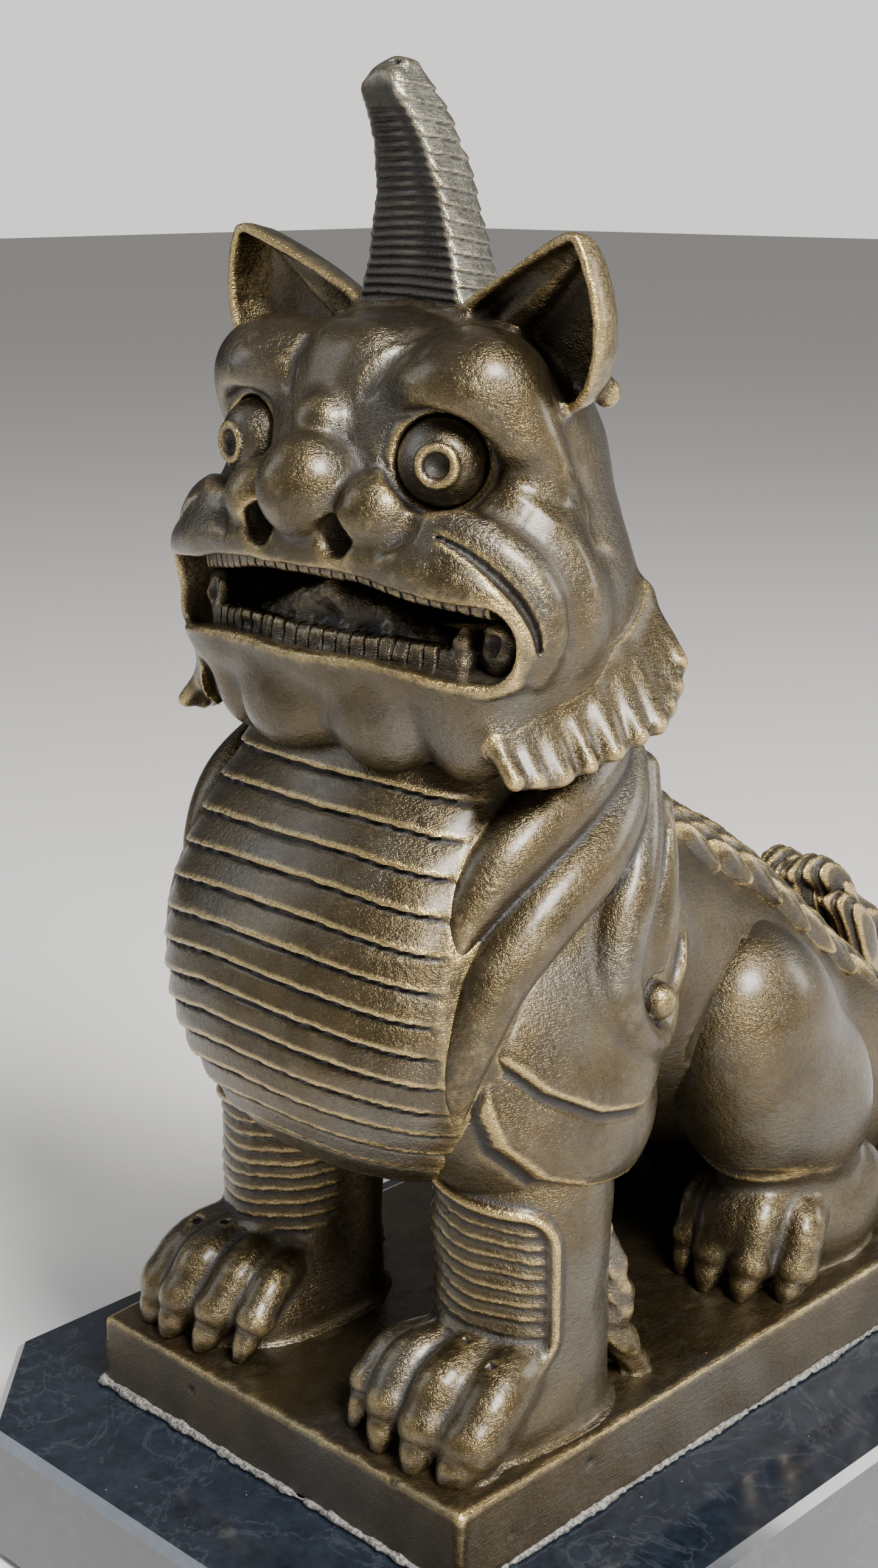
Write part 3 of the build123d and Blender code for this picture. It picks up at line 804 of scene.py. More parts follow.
def sculpt_foreleg():
    clay = Clay((6, -1, -1), (48, 56, 66))
    clay.add(stroke([(27, 33.5, 0, 14.6), (27, 33.5, 20, 14.4), (26.5, 34, 40, 14.9), (26, 36, 50, 13.5)], 2))
    clay.add(egg((27, 22, 4), (14.5, 15, 12)), 5)

    def panel(x, y, z):
        """The shin plate: overlapping bands inside a raised rim that runs over the top and down the outside."""
        round_leg = np.arctan2(x - 27, 34 - y)
        u = round_leg * 15.0 + 2.0
        v = z - 28.0 + 0.10 * u
        bands = (v + 11.0 + 0.2 * waver(81, 6)(x, y, z)) / 2.55
        part = bands - np.floor(bands)
        edge = np.maximum(np.abs(u) - 16.5, np.abs(v) - 11.5)
        corner = np.sqrt(np.maximum(np.abs(u) - 12.5, 0) ** 2 + np.maximum(np.abs(v) - 7.5, 0) ** 2) - 4.0
        edge = np.where((np.abs(u) > 12.5) & (np.abs(v) > 7.5), corner, edge)
        plate = (1.0 - ramp(edge, -0.6, 0.2)) * (0.85 * (1.0 - part) ** 0.8 - 0.55 * bump(part - 0.03, 0.18) - 0.4)
        rim = 1.25 * bump(edge - 1.6, 1.7) * np.maximum(ramp(u, 2, 8), ramp(v, 6, 10))
        return np.where(length3(x - 27, y - 34, 0) < 30, plate + rim, 0.0) * (y < 40)

    clay.swell(((8, 14, 10), (46, 40, 44), panel))
    toes = (
        ((19, 24, 12), (15.6, 15.8, 11.2), (14.6, 10.6, 6.8), (14.6, 6.6, 0.9), 3.5),
        ((24, 24, 13.6), (21.4, 13.4, 12.2), (21.6, 8.2, 6.8), (22.4, 4.4, 0.9), 4.1),
        ((30, 24, 14), (29.8, 13, 12.2), (30.2, 7.8, 6.6), (30.6, 3.8, 0.9), 4.5),
        ((34, 27, 12.6), (37.2, 16.8, 10.8), (37.8, 10.4, 5.6), (37, 5.4, 0.9), 5.2),
    )
    for root, knuckle, second, tip, size in toes:
        toe(clay, root, knuckle, second, tip, size, 2.0 if size > 5 else 1.2)
    for x, y, z in ((29.8, 17, 17), (36.4, 16, 15.6)):
        clay.cut(egg((x, y, z), (0.7, 0.7, 0.9)), 0.2)
    clay.roughen((0.14, 82, 8))
    skirt(clay)
    for _, _, second, tip, size in toes:
        claw(clay, second, tip, size)
    return clay


def sculpt_hind_leg():
    clay = Clay((8, 62, -1), (50, 140, 76))
    clay.add(egg((29, 94.5, 44), (14.6, 19, 25.5), (14, 0, 0)))
    clay.add(egg((29.5, 106, 32), (13.6, 17, 20)), 5)
    clay.add(egg((29, 88.5, 53), (12.6, 14.5, 15.5)), 6)
    clay.add(egg((29, 112, 9), (13, 21, 13)), 5)
    clay.swell(ridge([(20, 82, 25.5, 2), (34, 86, 23.5, 2.4), (42, 95, 22.4, 2.2), (43.5, 106, 21, 1.4)], -2.2))
    clay.add(egg((29, 99, 10), (12, 15, 12)), 2.5)
    toes = (
        ((22, 100, 16), (20, 92.6, 13.8), (20.2, 88.8, 7), (20.4, 85.4, 0.9), 3.6),
        ((26, 100, 17), (26.8, 90.8, 14.8), (27.2, 86.8, 7), (27.4, 83.2, 0.9), 4),
        ((31, 101, 16.6), (33.6, 91.8, 14.4), (34.4, 88, 6.8), (34.6, 84.6, 0.9), 4.2),
        ((34, 104, 15), (39.2, 96.6, 12.4), (40.6, 93, 6.2), (40.8, 89.8, 0.9), 4.2),
    )
    for root, knuckle, second, tip, size in toes:
        toe(clay, root, knuckle, second, tip, size)
    clay.roughen((0.16, 91, 10))
    skirt(clay)
    for _, _, second, tip, size in toes:
        claw(clay, second, tip, size)
    return clay


def sculpt_elbow_tuft():
    clay = Clay((20, 40, -1), (48, 66, 34))
    for lock in (
        [(32, 44, 30, 3.2), (34, 47, 22, 3.4), (34.5, 47, 15, 2.6)],
        [(34, 46, 22, 2.4), (35.4, 48.4, 15.5, 2.8), (35, 48.8, 9, 2.2)],
        [(33, 46, 12, 2.8), (35, 49.5, 7, 3.2), (35.5, 53, 1.6, 2.4)],
        [(28, 47, 20, 3.4), (29, 50, 10, 3.6), (31, 54, 2, 2.4)],
    ):
        clay.add(stroke(lock), 0.6)
    clay.swell(anywhere(lambda x, y, z: 0.25 * np.sin(x * 1.7 + 0.5 * z) * np.cos(z * 0.8 + x)))
    clay.roughen((0.3, 95, 4))
    skirt(clay, 2.0)
    return clay


# ---------------------------------------------------------------- mane and tail
def spine_height(y):
    return np.interp(y, (70, 80, 99, 115, 132, 145, 152), (97.5, 92.5, 82.5, 70, 56.5, 46.5, 42))


def flank(x, y):
    """The height of the back at a place beside the spine."""
    return float(spine_height(y)) - 29.0 * (1.0 - math.sqrt(1.0 - (x / 35.0) ** 2))


MANE_LOCK = ((2, -6.5, 2.6), (9, -3, 5), (16, 1, 5.4), (21.5, 5, 3.8))  # x, back, radius


def sculpt_mane():
    clay = Clay((-30, 58, 26), (30, 156, 116))
    clay.add(stroke([(0, 70, 92, 7), (0, 99, 76, 7), (0, 132, 51, 6), (0, 145, 43, 4)]))
    uneven = np.random.default_rng(102).uniform(-1.0, 1.0, (8, 2))
    for i in range(8):
        y = 75 + 9.2 * i + 0.9 * uneven[i, 0]
        size = 1.0 - 0.045 * i
        for s in (-1, 1):
            path = [
                (s * x, y + back, flank(x, y + back) + 1.8 - 0.72 * r * size, r * size)
                for x, back, r in (*MANE_LOCK, (26 + uneven[i, 1], 10, 1.1))
            ]
            clay.add(stroke(path, 4), 0.3)
        crest = [
            (0, y + back, flank(0, y + back) + lift, r)
            for back, lift, r in ((-5, 1.4, 2.4 * size), (2, 0.8, 3.4 * size), (8.5, -0.6, 1))
        ]
        clay.add(stroke(crest), 0.4)

    def strands(x, y, z):
        return 0.35 * np.sin(3.2 * (np.abs(x) * 0.8 - (y - z) * 0.12)) * ramp(np.abs(x), 0.5, 2.0)

    clay.swell(anywhere(strands))
    clay.roughen((0.15, 101, 5))
    return clay


def sculpt_tail():
    clay = Clay((-24, 128, -1), (24, 190, 76))
    clay.add(stroke([(0, 152, 18, 9), (0, 158, 36, 9), (0, 150, 52, 7), (0, 142, 59, 4)]))
    for s in (-1, 1):
        for lock in (
            [(3, 154, 36, 4.5), (4.5, 155, 52, 4.6), (4, 147, 61, 3.6), (3, 139, 62, 1.2)],
            [(7, 152, 30, 4.8), (10, 154, 44, 4.6), (10.5, 149, 54, 3.2), (9, 143, 57, 1)],
            [(4, 156, 52, 4), (6, 166, 42, 5.2), (7, 172, 26, 5.2), (6, 174, 10, 4.2), (4, 177, 2, 2.6)],
            [(9, 154, 42, 3.8), (12.5, 163, 30, 4.8), (13.5, 168, 16, 4.4), (11, 171, 4, 2.8)],
        ):
            clay.add(stroke(sided(s, lock)), 0.5)
    clay.add(stroke([(0, 157, 50, 4.2), (0, 170, 38, 5), (0, 176, 20, 5.2), (0, 179, 4, 3.2)]), 0.5)
    clay.swell(anywhere(lambda x, y, z: 0.42 * np.sin(2.9 * (x * 1.1 + 0.10 * (y + z)))))
    clay.roughen((0.15, 111, 6))
    skirt(clay)
    return clay


# ---------------------------------------------------------------- plinth and glue
def plinth_outline(wide, deep):
    """Its four corners rounded."""
    corner = 4
    return anywhere(lambda x, y, z: np.hypot(
        np.maximum(np.abs(x) - wide / 2 + corner, 0), np.maximum(y - deep + corner, 0)
    ) - corner + 0 * z)


def sculpt_plinth(size):
    """The bronze slab, open below, with worn edges and a slightly uneven top."""
    wide, deep, high = size
    clay = Clay((-wide / 2 - 2, -2, -high - 1), (wide / 2 + 2, deep + 2, 3))
    clay.add(block((0, deep / 2, -high / 2), (wide / 2, deep / 2, high / 2), 1.3))
    clay.keep(plinth_outline(wide, deep), 0.3)
    clay.roughen((0.22, 121, 30), (0.10, 122, 9))
    clay.swell(anywhere(lambda x, y, z: 0.08 * waver(123, 2.2)(x, y, z) * ramp(z, -1.5, 0.5)))
    for x, y, z, r in (
        (45, 31, -4.5, 0.8), (45, 12, -8.5, 0.5), (-20, 0, -5, 0.6), (45.2, 66, -2, 0.5), (30, 0, -0.4, 0.6),
    ):
        clay.cut(egg((x, y, z), (r, r * 1.5, r)), 0.3)
    clay.cut(block((0, deep / 2, -high / 2 - 5), (wide / 2 - 5, deep / 2 - 5, high / 2), 1))
    clay.cut(stroke([(0, 130, -12, 14), (0, 130, 4, 14)], 1))
    clay.keep(above(-high))
    return clay


def sculpt_glue(size):
    """Squeezed-out adhesive, rough and broken, round the foot of the plinth."""
    wide, deep, high = size
    clay = Clay((-wide / 2 - 4, -4, -high - 1), (wide / 2 + 4, deep + 4, -high + 4))

    def ring(x, y, z):
        u = np.abs(x) - wide / 2
        v = np.abs(y - deep / 2) - deep / 2
        out = np.where((u > 0) & (v > 0), np.hypot(np.maximum(u, 0), np.maximum(v, 0)), np.maximum(u, v))
        rough = 0.45 * waver(131, 9)(x, y, z) + 0.35 * waver(132, 3.1)(x, y, z) + 0.25 * waver(133, 1.5)(x, y, z)
        bead = np.hypot(out + 0.1, (z + high) * 0.8) - 1.05 - rough * 0.55
        return np.maximum(bead, -out - 0.6)

    clay.add(anywhere(ring))
    clay.keep(above(0.02 - high))
    return clay


# ---------------------------------------------------------------- from clay to pieces
MM = 0.001
GLOBAL_LOW = np.array((-52.0, -10.0, -2.0))
GLOBAL_SIZE = (105, 205, 226)


def blurred(field, reach):
    """The mean of the field in a cube of that many cells each way, three passes of running sums."""
    out = field
    for axis in range(3):
        count = out.shape[axis]
        pad = [(0, 0)] * 3
        pad[axis] = (reach + 1, reach)
        sums = np.cumsum(np.pad(out, pad, mode="edge"), axis=axis, dtype=np.float32)
        upper = [slice(None)] * 3
        lower = [slice(None)] * 3
        upper[axis] = slice(2 * reach + 1, 2 * reach + 1 + count)
        lower[axis] = slice(0, count)
        out = (sums[tuple(upper)] - sums[tuple(lower)]) / (2 * reach + 1)
    return out


def read_at(field, low, pitch, points):
    """Trilinear values of a field at points."""
    place = (points - low) / pitch
    place = np.clip(place, 0, np.array(field.shape) - 1.001)
    cell = place.astype(int)
    t = (place - cell).astype(np.float32)
    total = 0.0
    for i in (0, 1):
        for j in (0, 1):
            for k in (0, 1):
                weight = (
                    (t[:, 0] if i else 1 - t[:, 0]) * (t[:, 1] if j else 1 - t[:, 1]) * (t[:, 2] if k else 1 - t[:, 2])
                )
                total = total + weight * field[cell[:, 0] + i, cell[:, 1] + j, cell[:, 2] + k]
    return total


def surface(clay):
    """Points, in figure millimetres, and four-sided faces of the clay's surface."""
    grid = openvdb.FloatGrid(FAR)
    grid.copyFromArray(np.ascontiguousarray(np.minimum(clay.field, FAR)))
    points, _, quads = grid.convertToPolygons(isovalue=0.0, adaptivity=0.0)
    return points * clay.pitch + clay.low, quads[:, ::-1]


def fine_edge(clay, points):
    """How much each point stands out of its surroundings, in millimetres: positive on edges, negative in grooves."""
    reach = max(1, int(round(1.0 / clay.pitch)))
    capped = np.clip(clay.field, -3.0, 3.0)
    return read_at(blurred(capped, reach), clay.low, clay.pitch, points)


def global_field(clays):
    """Every piece together on a coarse grid."""
    out = np.full(GLOBAL_SIZE, 12.0, np.float32)
    for clay in clays:
        step = int(round(1.0 / clay.pitch))
        coarse = clay.field[::step, ::step, ::step]
        start = np.round(clay.low - GLOBAL_LOW).astype(int)
        first = np.maximum(start, 0)
        last = np.minimum(start + np.array(coarse.shape), np.array(GLOBAL_SIZE))
        target = tuple(slice(a, b) for a, b in zip(first, last))
        source = tuple(slice(a - s, b - s) for a, b, s in zip(first, last, start))
        out[target] = np.minimum(out[target], coarse[source])
    heights = (GLOBAL_LOW[2] + np.arange(GLOBAL_SIZE[2]))[None, None, :]
    return np.clip(np.minimum(out, heights), -12.0, 12.0)


def make_piece(node, points, quads, values, slot, material):
    name = "cast_" + node
    mesh = bpy.data.meshes.new(name)
    mesh.vertices.add(len(points))
    mesh.vertices.foreach_set("co", ((points + FIGURE_SHIFT) * MM).astype(np.float32).ravel())
    mesh.loops.add(quads.size)
    mesh.loops.foreach_set("vertex_index", quads.astype(np.int32).ravel())
    mesh.polygons.add(len(quads))
    mesh.polygons.foreach_set("loop_start", np.arange(0, quads.size, 4, dtype=np.int32))
    mesh.update(calc_edges=True)
    mesh.polygons.foreach_set("use_smooth", np.ones(len(quads), bool))
    for label, data in values.items():
        mesh.attributes.new(label, "FLOAT", "POINT").data.foreach_set("value", data.astype(np.float32))
    piece = bpy.data.objects.new(name, mesh)
    bpy.context.scene.collection.objects.link(piece)
    mesh.materials.append(material)
    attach(piece, "root")
    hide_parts(node)


# ---------------------------------------------------------------- materials
class Nodes:
    """Short ways to wire a material or a world. Values are sockets or plain numbers."""

    def __init__(self, owner):
        owner.use_nodes = True
        self.owner = owner
        self.tree = owner.node_tree
        self.coordinates = self.tree.nodes.new("ShaderNodeTexCoord").outputs
        self.place = self.coordinates["Object"]

    def put(self, socket, value):
        if isinstance(value, bpy.types.NodeSocket):
            self.tree.links.new(value, socket)
        else:
            socket.default_value = value

    def node(self, kind, output, inputs, **settings):
        """The output of a new node, with its settings and then its inputs filled in."""
        node = self.tree.nodes.new("ShaderNode" + kind)
        for key, value in settings.items():
            setattr(node, key, value)
        for key, value in inputs.items():
            self.put(node.inputs[key], value)
        return node.outputs[output]

    def math(self, kind, a, b=0.0, clamp=False):
        return self.node("Math", "Value", {0: a, 1: b}, operation=kind, use_clamp=clamp)

    def add(self, a, b):
        return self.math("ADD", a, b)

    def times(self, a, b):
        return self.math("MULTIPLY", a, b)

    def range(self, value, low, high, start=0.0, end=1.0, smooth=True):
        ends = {"Value": value, "From Min": low, "From Max": high, "To Min": start, "To Max": end}
        return self.node("MapRange", "Result", ends, interpolation_type="SMOOTHSTEP" if smooth else "LINEAR")

    def attribute(self, name):
        return self.node("Attribute", "Fac", {}, attribute_name=name)

    def stretched(self, scale, turn=(0, 0, 0)):
        return self.node("Mapping", "Vector", {"Scale": scale, "Rotation": turn, "Vector": self.place})

    def noise(self, size_mm, detail=2.0, rough=0.5, vector=None, twist=0.0):
        inputs = {"Vector": vector or self.place, "Scale": 1000.0 / size_mm}
        return self.node("TexNoise", "Fac", inputs | {"Detail": detail, "Roughness": rough, "Distortion": twist})

    def cells(self, size_mm):
        return self.node("TexVoronoi", "Distance", {"Vector": self.place, "Scale": 1000.0 / size_mm})

    def mix(self, share, a, b):
        return self.node("Mix", "Result", {"Factor": share, "A": a, "B": b}, data_type="RGBA")

    def bump(self, height, depth_mm, strength=1.0, under=None):
        inputs = {"Distance": depth_mm * MM, "Strength": strength, "Height": height}
        return self.node("Bump", "Normal", inputs | ({"Normal": under} if under else {}))

    def finish(self, **values):
        """The material, with those values on its shader."""
        for key, value in values.items():
            self.put(self.tree.nodes["Principled BSDF"].inputs[key.replace("_", " ")], value)
        return self.owner


def rgb(*channels):
    return (*channels, 1.0)


def bronze_material(name, cool=0.0, painted_mouth_shade=0.0):
    """Chemical brown patina, rubbed to gold on the high places and nearly black in the hollows; on the broad forms the
    gold is painted highlight and the black is painted shade, with painted sheen in broad grey patches.
    """
    n = Nodes(bpy.data.materials.new(name))
    cloud = n.noise(11.0, 3.0, 0.55)
    patch = n.noise(4.0, 3.0, 0.6, twist=0.4)
    grain = n.noise(1.1, 3.0, 0.62)
    speck = n.noise(0.22, 1.0, 0.5)
    brushed = n.noise(0.5, 2.0, 0.6, vector=n.stretched((1.0, 0.16, 2.2), (0.5, 0.35, 0.6)))
    edge = n.attribute("edge")
    hollow = n.attribute("hollow")
    # Rubbed bright on the fine edges, and painted highlight on the broad high forms: where it stands out of its
    # surroundings, at two scales, with ragged limits.
    stand = n.add(n.times(edge, 3.4), n.times(hollow, 0.16))
    stand = n.add(stand, n.range(patch, 0.3, 0.7, -0.16, 0.16, False))
    stand = n.add(stand, n.range(grain, 0.3, 0.7, -0.10, 0.10, False))
    worn = n.range(stand, 0.20, 1.15)
    # Black patina in the fine grooves, and painted shade in the broad recesses, between pieces and near the plinth's
    # top: where it lies lower than its surroundings.
    sunk = n.add(n.times(edge, -4.2), n.times(hollow, -0.34))
    sunk = n.add(sunk, n.range(patch, 0.3, 0.7, -0.12, 0.12, False))
    grime_and_shade = n.range(sunk, 0.06, 0.85)
    brown = n.mix(n.range(cloud, 0.35, 0.65), rgb(0.058, 0.042, 0.019), rgb(0.090, 0.065, 0.030))
    brown = n.mix(n.range(patch, 0.45, 0.72, 0.0, 0.45), brown, rgb(0.098, 0.086, 0.062))
    # Painted sheen: broad grey patches that stand in for the cool reflection on the metal.
    brown = n.mix(n.range(n.noise(28.0, 2.0, 0.5), 0.48, 0.66, 0.0, 0.55), brown, rgb(0.118, 0.112, 0.098))
    gold = n.mix(n.range(brushed, 0.35, 0.65), rgb(0.31, 0.222, 0.088), rgb(0.48, 0.36, 0.16))
    pewter = n.mix(n.range(patch, 0.35, 0.65), rgb(0.15, 0.148, 0.124), rgb(0.28, 0.278, 0.245))
    # Gold where the fine edges are rubbed, and painted highlight on the broad high forms.
    colour = n.mix(worn, brown, gold)
    colour = n.mix(cool, colour, pewter)
    # Painted shade for the teeth and tongue inside the mouth.
    colour = n.mix(painted_mouth_shade, colour, rgb(0.055, 0.042, 0.026))
    # Painted shade on the front of the horn, mixed in with the shade of the recesses.
    grime_and_shade = n.math("MAXIMUM", grime_and_shade, n.math("MULTIPLY", n.attribute("stain"), 1.15, clamp=True))
    # Near-black for the patina in the grooves and the painted shade in the recesses.
    colour = n.mix(grime_and_shade, colour, rgb(0.016, 0.012, 0.008))
    rough = n.range(grain, 0.3, 0.7, 0.24, 0.38, False)
    rough = n.add(rough, n.times(grime_and_shade, 0.22))
    rough = n.math("SUBTRACT", rough, n.times(worn, 0.07))
    height = n.add(n.times(grain, 0.8), n.times(speck, 0.25))
    height = n.add(height, n.times(brushed, 0.5))
    pits = n.range(n.cells(5.2), 0.0, 0.075, 0.0, 1.0)
    normal = n.bump(height, 0.36, 0.9)
    normal = n.bump(pits, 0.25, 0.6, normal)
    metal = n.math("SUBTRACT", 0.90, n.times(grime_and_shade, 0.88))
    return n.finish(
        Base_Color=colour, Metallic=metal, Roughness=rough, Normal=normal,
        Coat_Weight=n.times(n.math("SUBTRACT", 1.0, grime_and_shade), 0.38), Coat_Roughness=0.24
    )


def marble_material():
    n = Nodes(bpy.data.materials.new("marble"))
    veins = n.noise(26.0, 6.0, 0.62, twist=1.6)
    fine = n.noise(3.0, 5.0, 0.7)
    line = n.range(n.math("ABSOLUTE", n.math("SUBTRACT", veins, 0.5)), 0.0, 0.018, 0.35, 0.0)
    colour = n.mix(n.range(fine, 0.3, 0.7), rgb(0.004, 0.0065, 0.0115), rgb(0.010, 0.015, 0.024))
    colour = n.mix(line, colour, rgb(0.045, 0.052, 0.062))
    dust = n.range(n.cells(7.5), 0.0, 0.03, 1.0, 0.0)
    colour = n.mix(n.times(dust, 0.55), colour, rgb(0.5, 0.5, 0.48))
    rough = n.add(n.range(n.noise(14.0, 3.0), 0.3, 0.7, 0.10, 0.20, False), n.times(dust, 0.5))
    return n.finish(Base_Color=colour, Roughness=rough, Coat_Weight=0.5, Coat_Roughness=0.06)


def felt_material():
    n = Nodes(bpy.data.materials.new("felt"))
    fibre = n.noise(0.35, 3.0, 0.7)
    colour = n.mix(fibre, rgb(0.012, 0.016, 0.014), rgb(0.035, 0.045, 0.04))
    return n.finish(Base_Color=colour, Roughness=0.95, Normal=n.bump(fibre, 0.2, 0.9))


def steel_material():
    n = Nodes(bpy.data.materials.new("steel"))
    turned = n.noise(0.4, 2.0, 0.5, vector=n.stretched((1.0, 1.0, 0.15)))
    rough = n.range(turned, 0.3, 0.7, 0.26, 0.42, False)
    colour = n.mix(turned, rgb(0.48, 0.49, 0.50), rgb(0.64, 0.64, 0.63))
    return n.finish(Base_Color=colour, Metallic=1.0, Roughness=rough, Normal=n.bump(turned, 0.02, 0.4))


def adhesive_material():
    n = Nodes(bpy.data.materials.new("adhesive"))
    crust = n.noise(0.7, 3.0, 0.7)
    glint = n.range(n.cells(1.1), 0.05, 0.35, 1.0, 0.0)
    colour = n.mix(n.range(crust, 0.35, 0.65), rgb(0.06, 0.055, 0.048), rgb(0.26, 0.25, 0.23))
    rough = n.math("SUBTRACT", 0.62, n.times(glint, 0.4))
    return n.finish(Base_Color=colour, Roughness=rough, Normal=n.bump(crust, 0.4, 1.0))


def floor_material():
    n = Nodes(bpy.data.materials.new("studio_floor"))
    return n.finish(Base_Color=rgb(0.80, 0.78, 0.76), Roughness=0.75)


# ---------------------------------------------------------------- the scene
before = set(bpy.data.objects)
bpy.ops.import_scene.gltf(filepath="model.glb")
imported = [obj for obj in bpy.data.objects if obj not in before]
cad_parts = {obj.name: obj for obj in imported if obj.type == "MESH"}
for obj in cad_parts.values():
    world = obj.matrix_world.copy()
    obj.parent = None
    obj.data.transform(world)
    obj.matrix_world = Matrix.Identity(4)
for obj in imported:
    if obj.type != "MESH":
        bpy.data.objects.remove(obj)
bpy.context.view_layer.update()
plinth_low, plinth_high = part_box("plinth_casting")
FIGURE_SHIFT = np.array((0.0, plinth_low[1] / MM, plinth_high[2] / MM))

materials = {
    "bronze": bronze_material("bronze"),
    "horn": bronze_material("bronze_horn", cool=0.7),
    # The teeth and tongue, with painted shade.
    "mouth": bronze_material("bronze_mouth_painted_shade", cool=0.2, painted_mouth_shade=0.55),
    "plinth": bronze_material("bronze_plinth"),
    "marble": marble_material(),
    "felt": felt_material(),
    "steel": steel_material(),
    "adhesive": adhesive_material(),
}


SEAT_GAP = 0.8  # between a shoulder and the torso that it sits in
PAIRED = ("ear", "ruff", "shoulder_scroll", "front_leg", "hind_leg", "elbow_tuft")
ON_PLINTH = ("leg_left", "leg_right", "tuft_left", "tuft_right")
FINISH = {
    "plinth_casting": "plinth", "glue_bead": "adhesive", "horn": "horn",
    "upper_teeth": "mouth", "lower_teeth": "mouth", "tongue": "mouth",
}
SLOTS = {"glue_bead": "adhesive"}
CAD_FINISH = {
    "marble_base": "marble", "felt_sheet": "felt",
    "mounting_studs": "steel", "stud_washers": "steel", "stud_nuts": "steel",
}


def mirrored_fillets(before, after):
    """The head with the fillets of its left ear and ruff on both sides."""
    grown = np.where(after < before - 1e-4, after, FAR)
    return np.minimum(after, grown[::-1])


def sculpt_all(plinth_size):
    """Every clay block by node."""
    with ThreadPoolExecutor(4) as pool:
        jobs = {
            node: pool.submit(*work)
            for node, work in {
                "torso_casting": (sculpt_torso,),
                "head_casting": (sculpt_head,),
                "shoulder_scroll": (sculpt_shoulder,),
                "eye_left": (sculpt_eye, 1),
                "eye_right": (sculpt_eye, -1),
                "upper_teeth": (tooth_row, True),
                "lower_teeth": (sculpt_lower_teeth,),
                "tongue": (sculpt_tongue,),
                "front_leg": (sculpt_foreleg,),
                "hind_leg": (sculpt_hind_leg,),
                "elbow_tuft": (sculpt_elbow_tuft,),
                "spine_mane": (sculpt_mane,),
                "tail": (sculpt_tail,),
                "plinth_casting": (sculpt_plinth, plinth_size),
                "glue_bead": (sculpt_glue, plinth_size),
            }.items()
        }
        done = {name: job.result() for name, job in jobs.items()}
    # The horn, the ear and the ruff share fillets with the head.
    head = done["head_casting"]
    done["horn"] = sculpt_horn(head)
    bare = head.field.copy()
    done["ear"] = sculpt_ear(head)
    done["ruff"] = sculpt_ruff(head)
    head.field = mirrored_fillets(bare, head.field)
    # The torso is cut back to seat both shoulders.
    torso = done["torso_casting"]
    for shoulder in (done["shoulder_scroll"], done["shoulder_scroll"].flipped()):
        torso.field = np.maximum(torso.field, -(sample_block(shoulder, torso) + SEAT_GAP))
    clays = {}
    for name, clay in done.items():
        if name in PAIRED:
            clays[name + "_left"] = clay
            clays[name + "_right"] = clay.flipped()
        else:
            clays[name] = clay
    return clays


clays = sculpt_all([(plinth_high[i] - plinth_low[i]) / MM for i in range(3)])
# The figure and the ground under it, blurred into a broad measure of recess and standing out, which drives the painted
# shade and the painted highlight.
whole = global_field([clay for name, clay in clays.items() if name not in ("plinth_casting", "glue_bead")])
around = blurred(whole, 3)


def horn_front_shade(points):
    """Painted shade on the grooved front of the horn, below its tip."""
    front = np.interp(points[:, 2], HORN_HEIGHTS, HORN_FRONTS)
    half = np.interp(points[:, 2], HORN_HEIGHTS, HORN_HALVES)
    ahead = 1.0 - ramp(points[:, 1] - front, 0.6, 2.6)
    inner = 1.0 - ramp(np.abs(points[:, 0]) - half, -1.2, -0.3)
    return 0.85 * ahead * inner * (1.0 - ramp(points[:, 2], 211.0, 214.0))


# How much of the broad measure, and so of the painted shade and painted highlight, each kind of piece takes.
HOLLOW_SHARE = {"eye": 0.3, "ear": 0.45, "ruff": 0.4}


def measure(item):
    """A piece's surface, with what the patina, the painted shade and the painted highlight need to know at each point.
    """
    name, clay = item
    points, quads = surface(clay)
    fade = ramp(points[:, 2], 0.6, 3.0) if name.endswith(ON_PLINTH) else 1.0
    values = {
        "edge": fine_edge(clay, points) * fade,
        "hollow": read_at(around, GLOBAL_LOW, 1.0, points) * HOLLOW_SHARE.get(name.split("_")[0], 1.0),
        "stain": horn_front_shade(points) if name == "horn" else np.zeros(len(points)),
    }
    return name, points, quads, values


with ThreadPoolExecutor(4) as pool:
    for measured in list(pool.map(measure, sorted(clays.items()))):
        node = measured[0]
        make_piece(*measured, SLOTS.get(node, "bronze"), materials[FINISH.get(node, "bronze")])

for node, finish in CAD_FINISH.items():
    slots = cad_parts[node].data.materials
    slots.clear()
    slots.append(materials[finish])

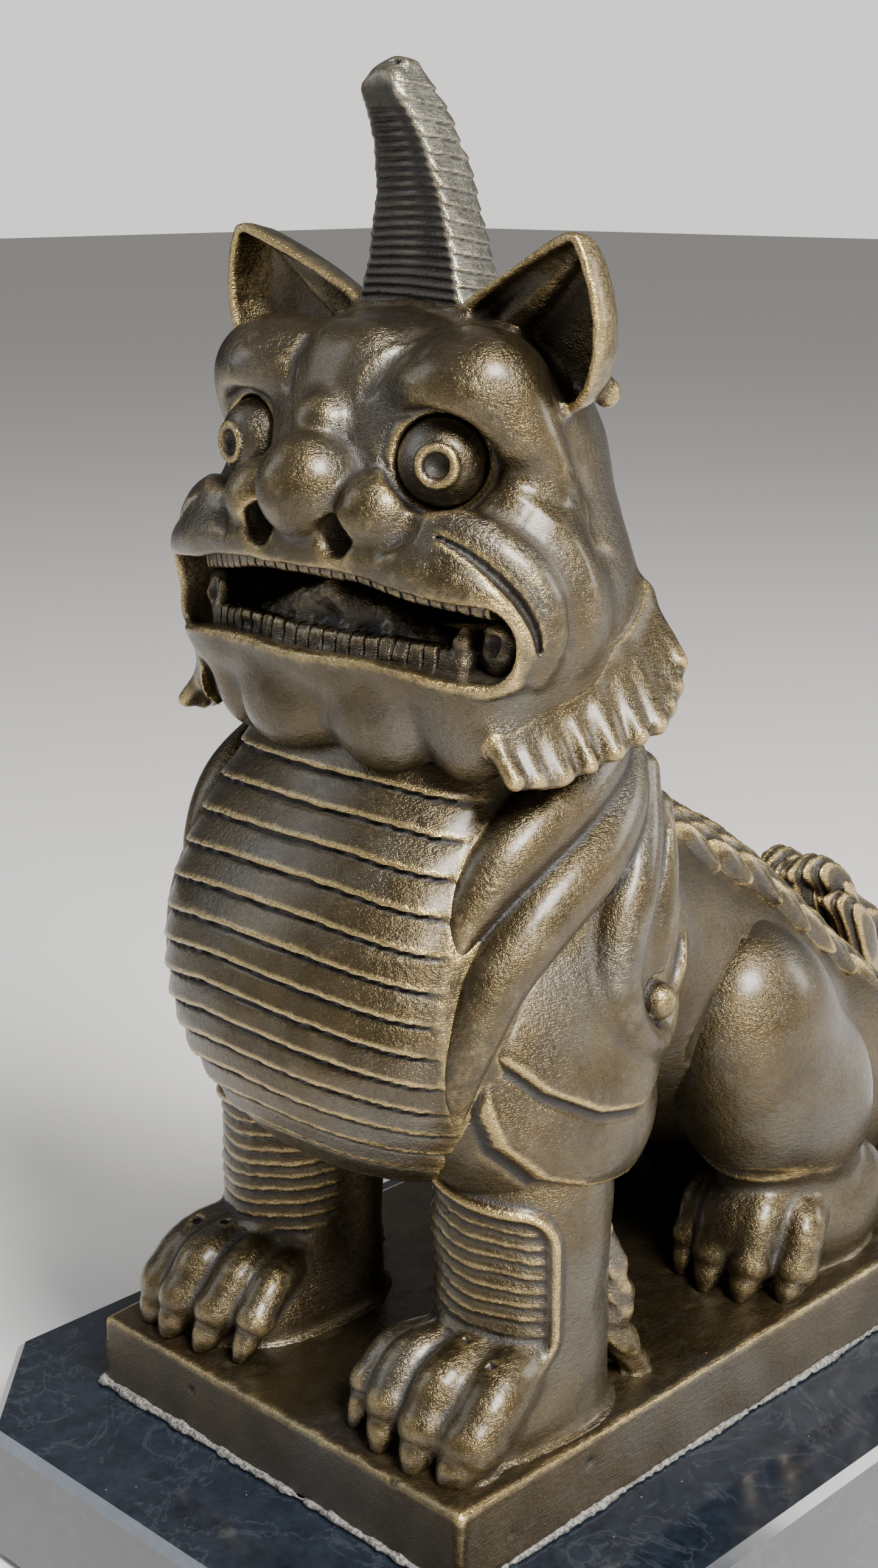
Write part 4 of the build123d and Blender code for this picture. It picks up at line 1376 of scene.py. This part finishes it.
# ---------------------------------------------------------------- studio
floor_mesh = bpy.data.meshes.new("studio_floor")
floor_mesh.from_pydata([(-6, -6, 0), (6, -6, 0), (6, 6, 0), (-6, 6, 0)], [], [(0, 1, 2, 3)])
floor = bpy.data.objects.new("studio_floor", floor_mesh)
bpy.context.scene.collection.objects.link(floor)
floor_mesh.materials.append(floor_material())


def lamp(name, place, size, power, colour):
    data = bpy.data.lights.new(name, "AREA")
    data.shape = "RECTANGLE"
    data.size, data.size_y = size
    data.energy = power
    data.color = colour
    thing = bpy.data.objects.new(name, data)
    thing.location = place
    thing.rotation_euler = (Vector(LAMPS_AIM) - Vector(place)).to_track_quat("-Z", "Y").to_euler()
    bpy.context.scene.collection.objects.link(thing)


LAMPS_AIM = (0.0, -0.03, 0.13)
lamp("key", (0.58, -0.20, 0.72), (0.28, 0.28), 23.0, (1.0, 0.99, 0.97))
lamp("window", (-0.60, -0.55, 0.60), (0.35, 0.6), 2.6, (0.84, 0.91, 1.0))
lamp("back", (0.55, 0.75, 0.42), (0.25, 0.4), 5.0, (1.0, 0.97, 0.90))

# The room: pale to the camera, and brighter overhead than below to the bronze.
BRIGHT_SIDE = (0.36, 0.16, 0.84)
WALL_BRIGHTNESS = 1.3
room = Nodes(bpy.data.worlds.new("room"))
bpy.context.scene.world = room.owner
toward = room.node("VectorMath", "Value", {0: room.coordinates["Generated"], 1: BRIGHT_SIDE}, operation="DOT_PRODUCT")
fade = room.range(toward, -0.25, 1.0, 0.03, 0.52, smooth=False)
seen = room.node("LightPath", "Is Camera Ray", {})
background = room.tree.nodes["Background"].inputs
room.put(background["Strength"], room.node("Mix", "Result", {"Factor": seen, "A": fade, "B": WALL_BRIGHTNESS}))
room.put(background["Color"], rgb(0.90, 0.88, 0.86))

CAMERA_PLACE = (0.25005, -0.30972, 0.23994)
CAMERA_LENS = 50.87
CAMERA_DOWN = 15.67  # degrees
CAMERA_TURN = 44.32
camera_data = bpy.data.cameras.new("camera")
camera_data.lens = CAMERA_LENS
camera_data.sensor_width = 36.0
camera = bpy.data.objects.new("camera", camera_data)
camera.location = CAMERA_PLACE
camera.rotation_euler = (math.radians(90 - CAMERA_DOWN), 0.0, math.radians(CAMERA_TURN))
bpy.context.scene.collection.objects.link(camera)
bpy.context.scene.camera = camera
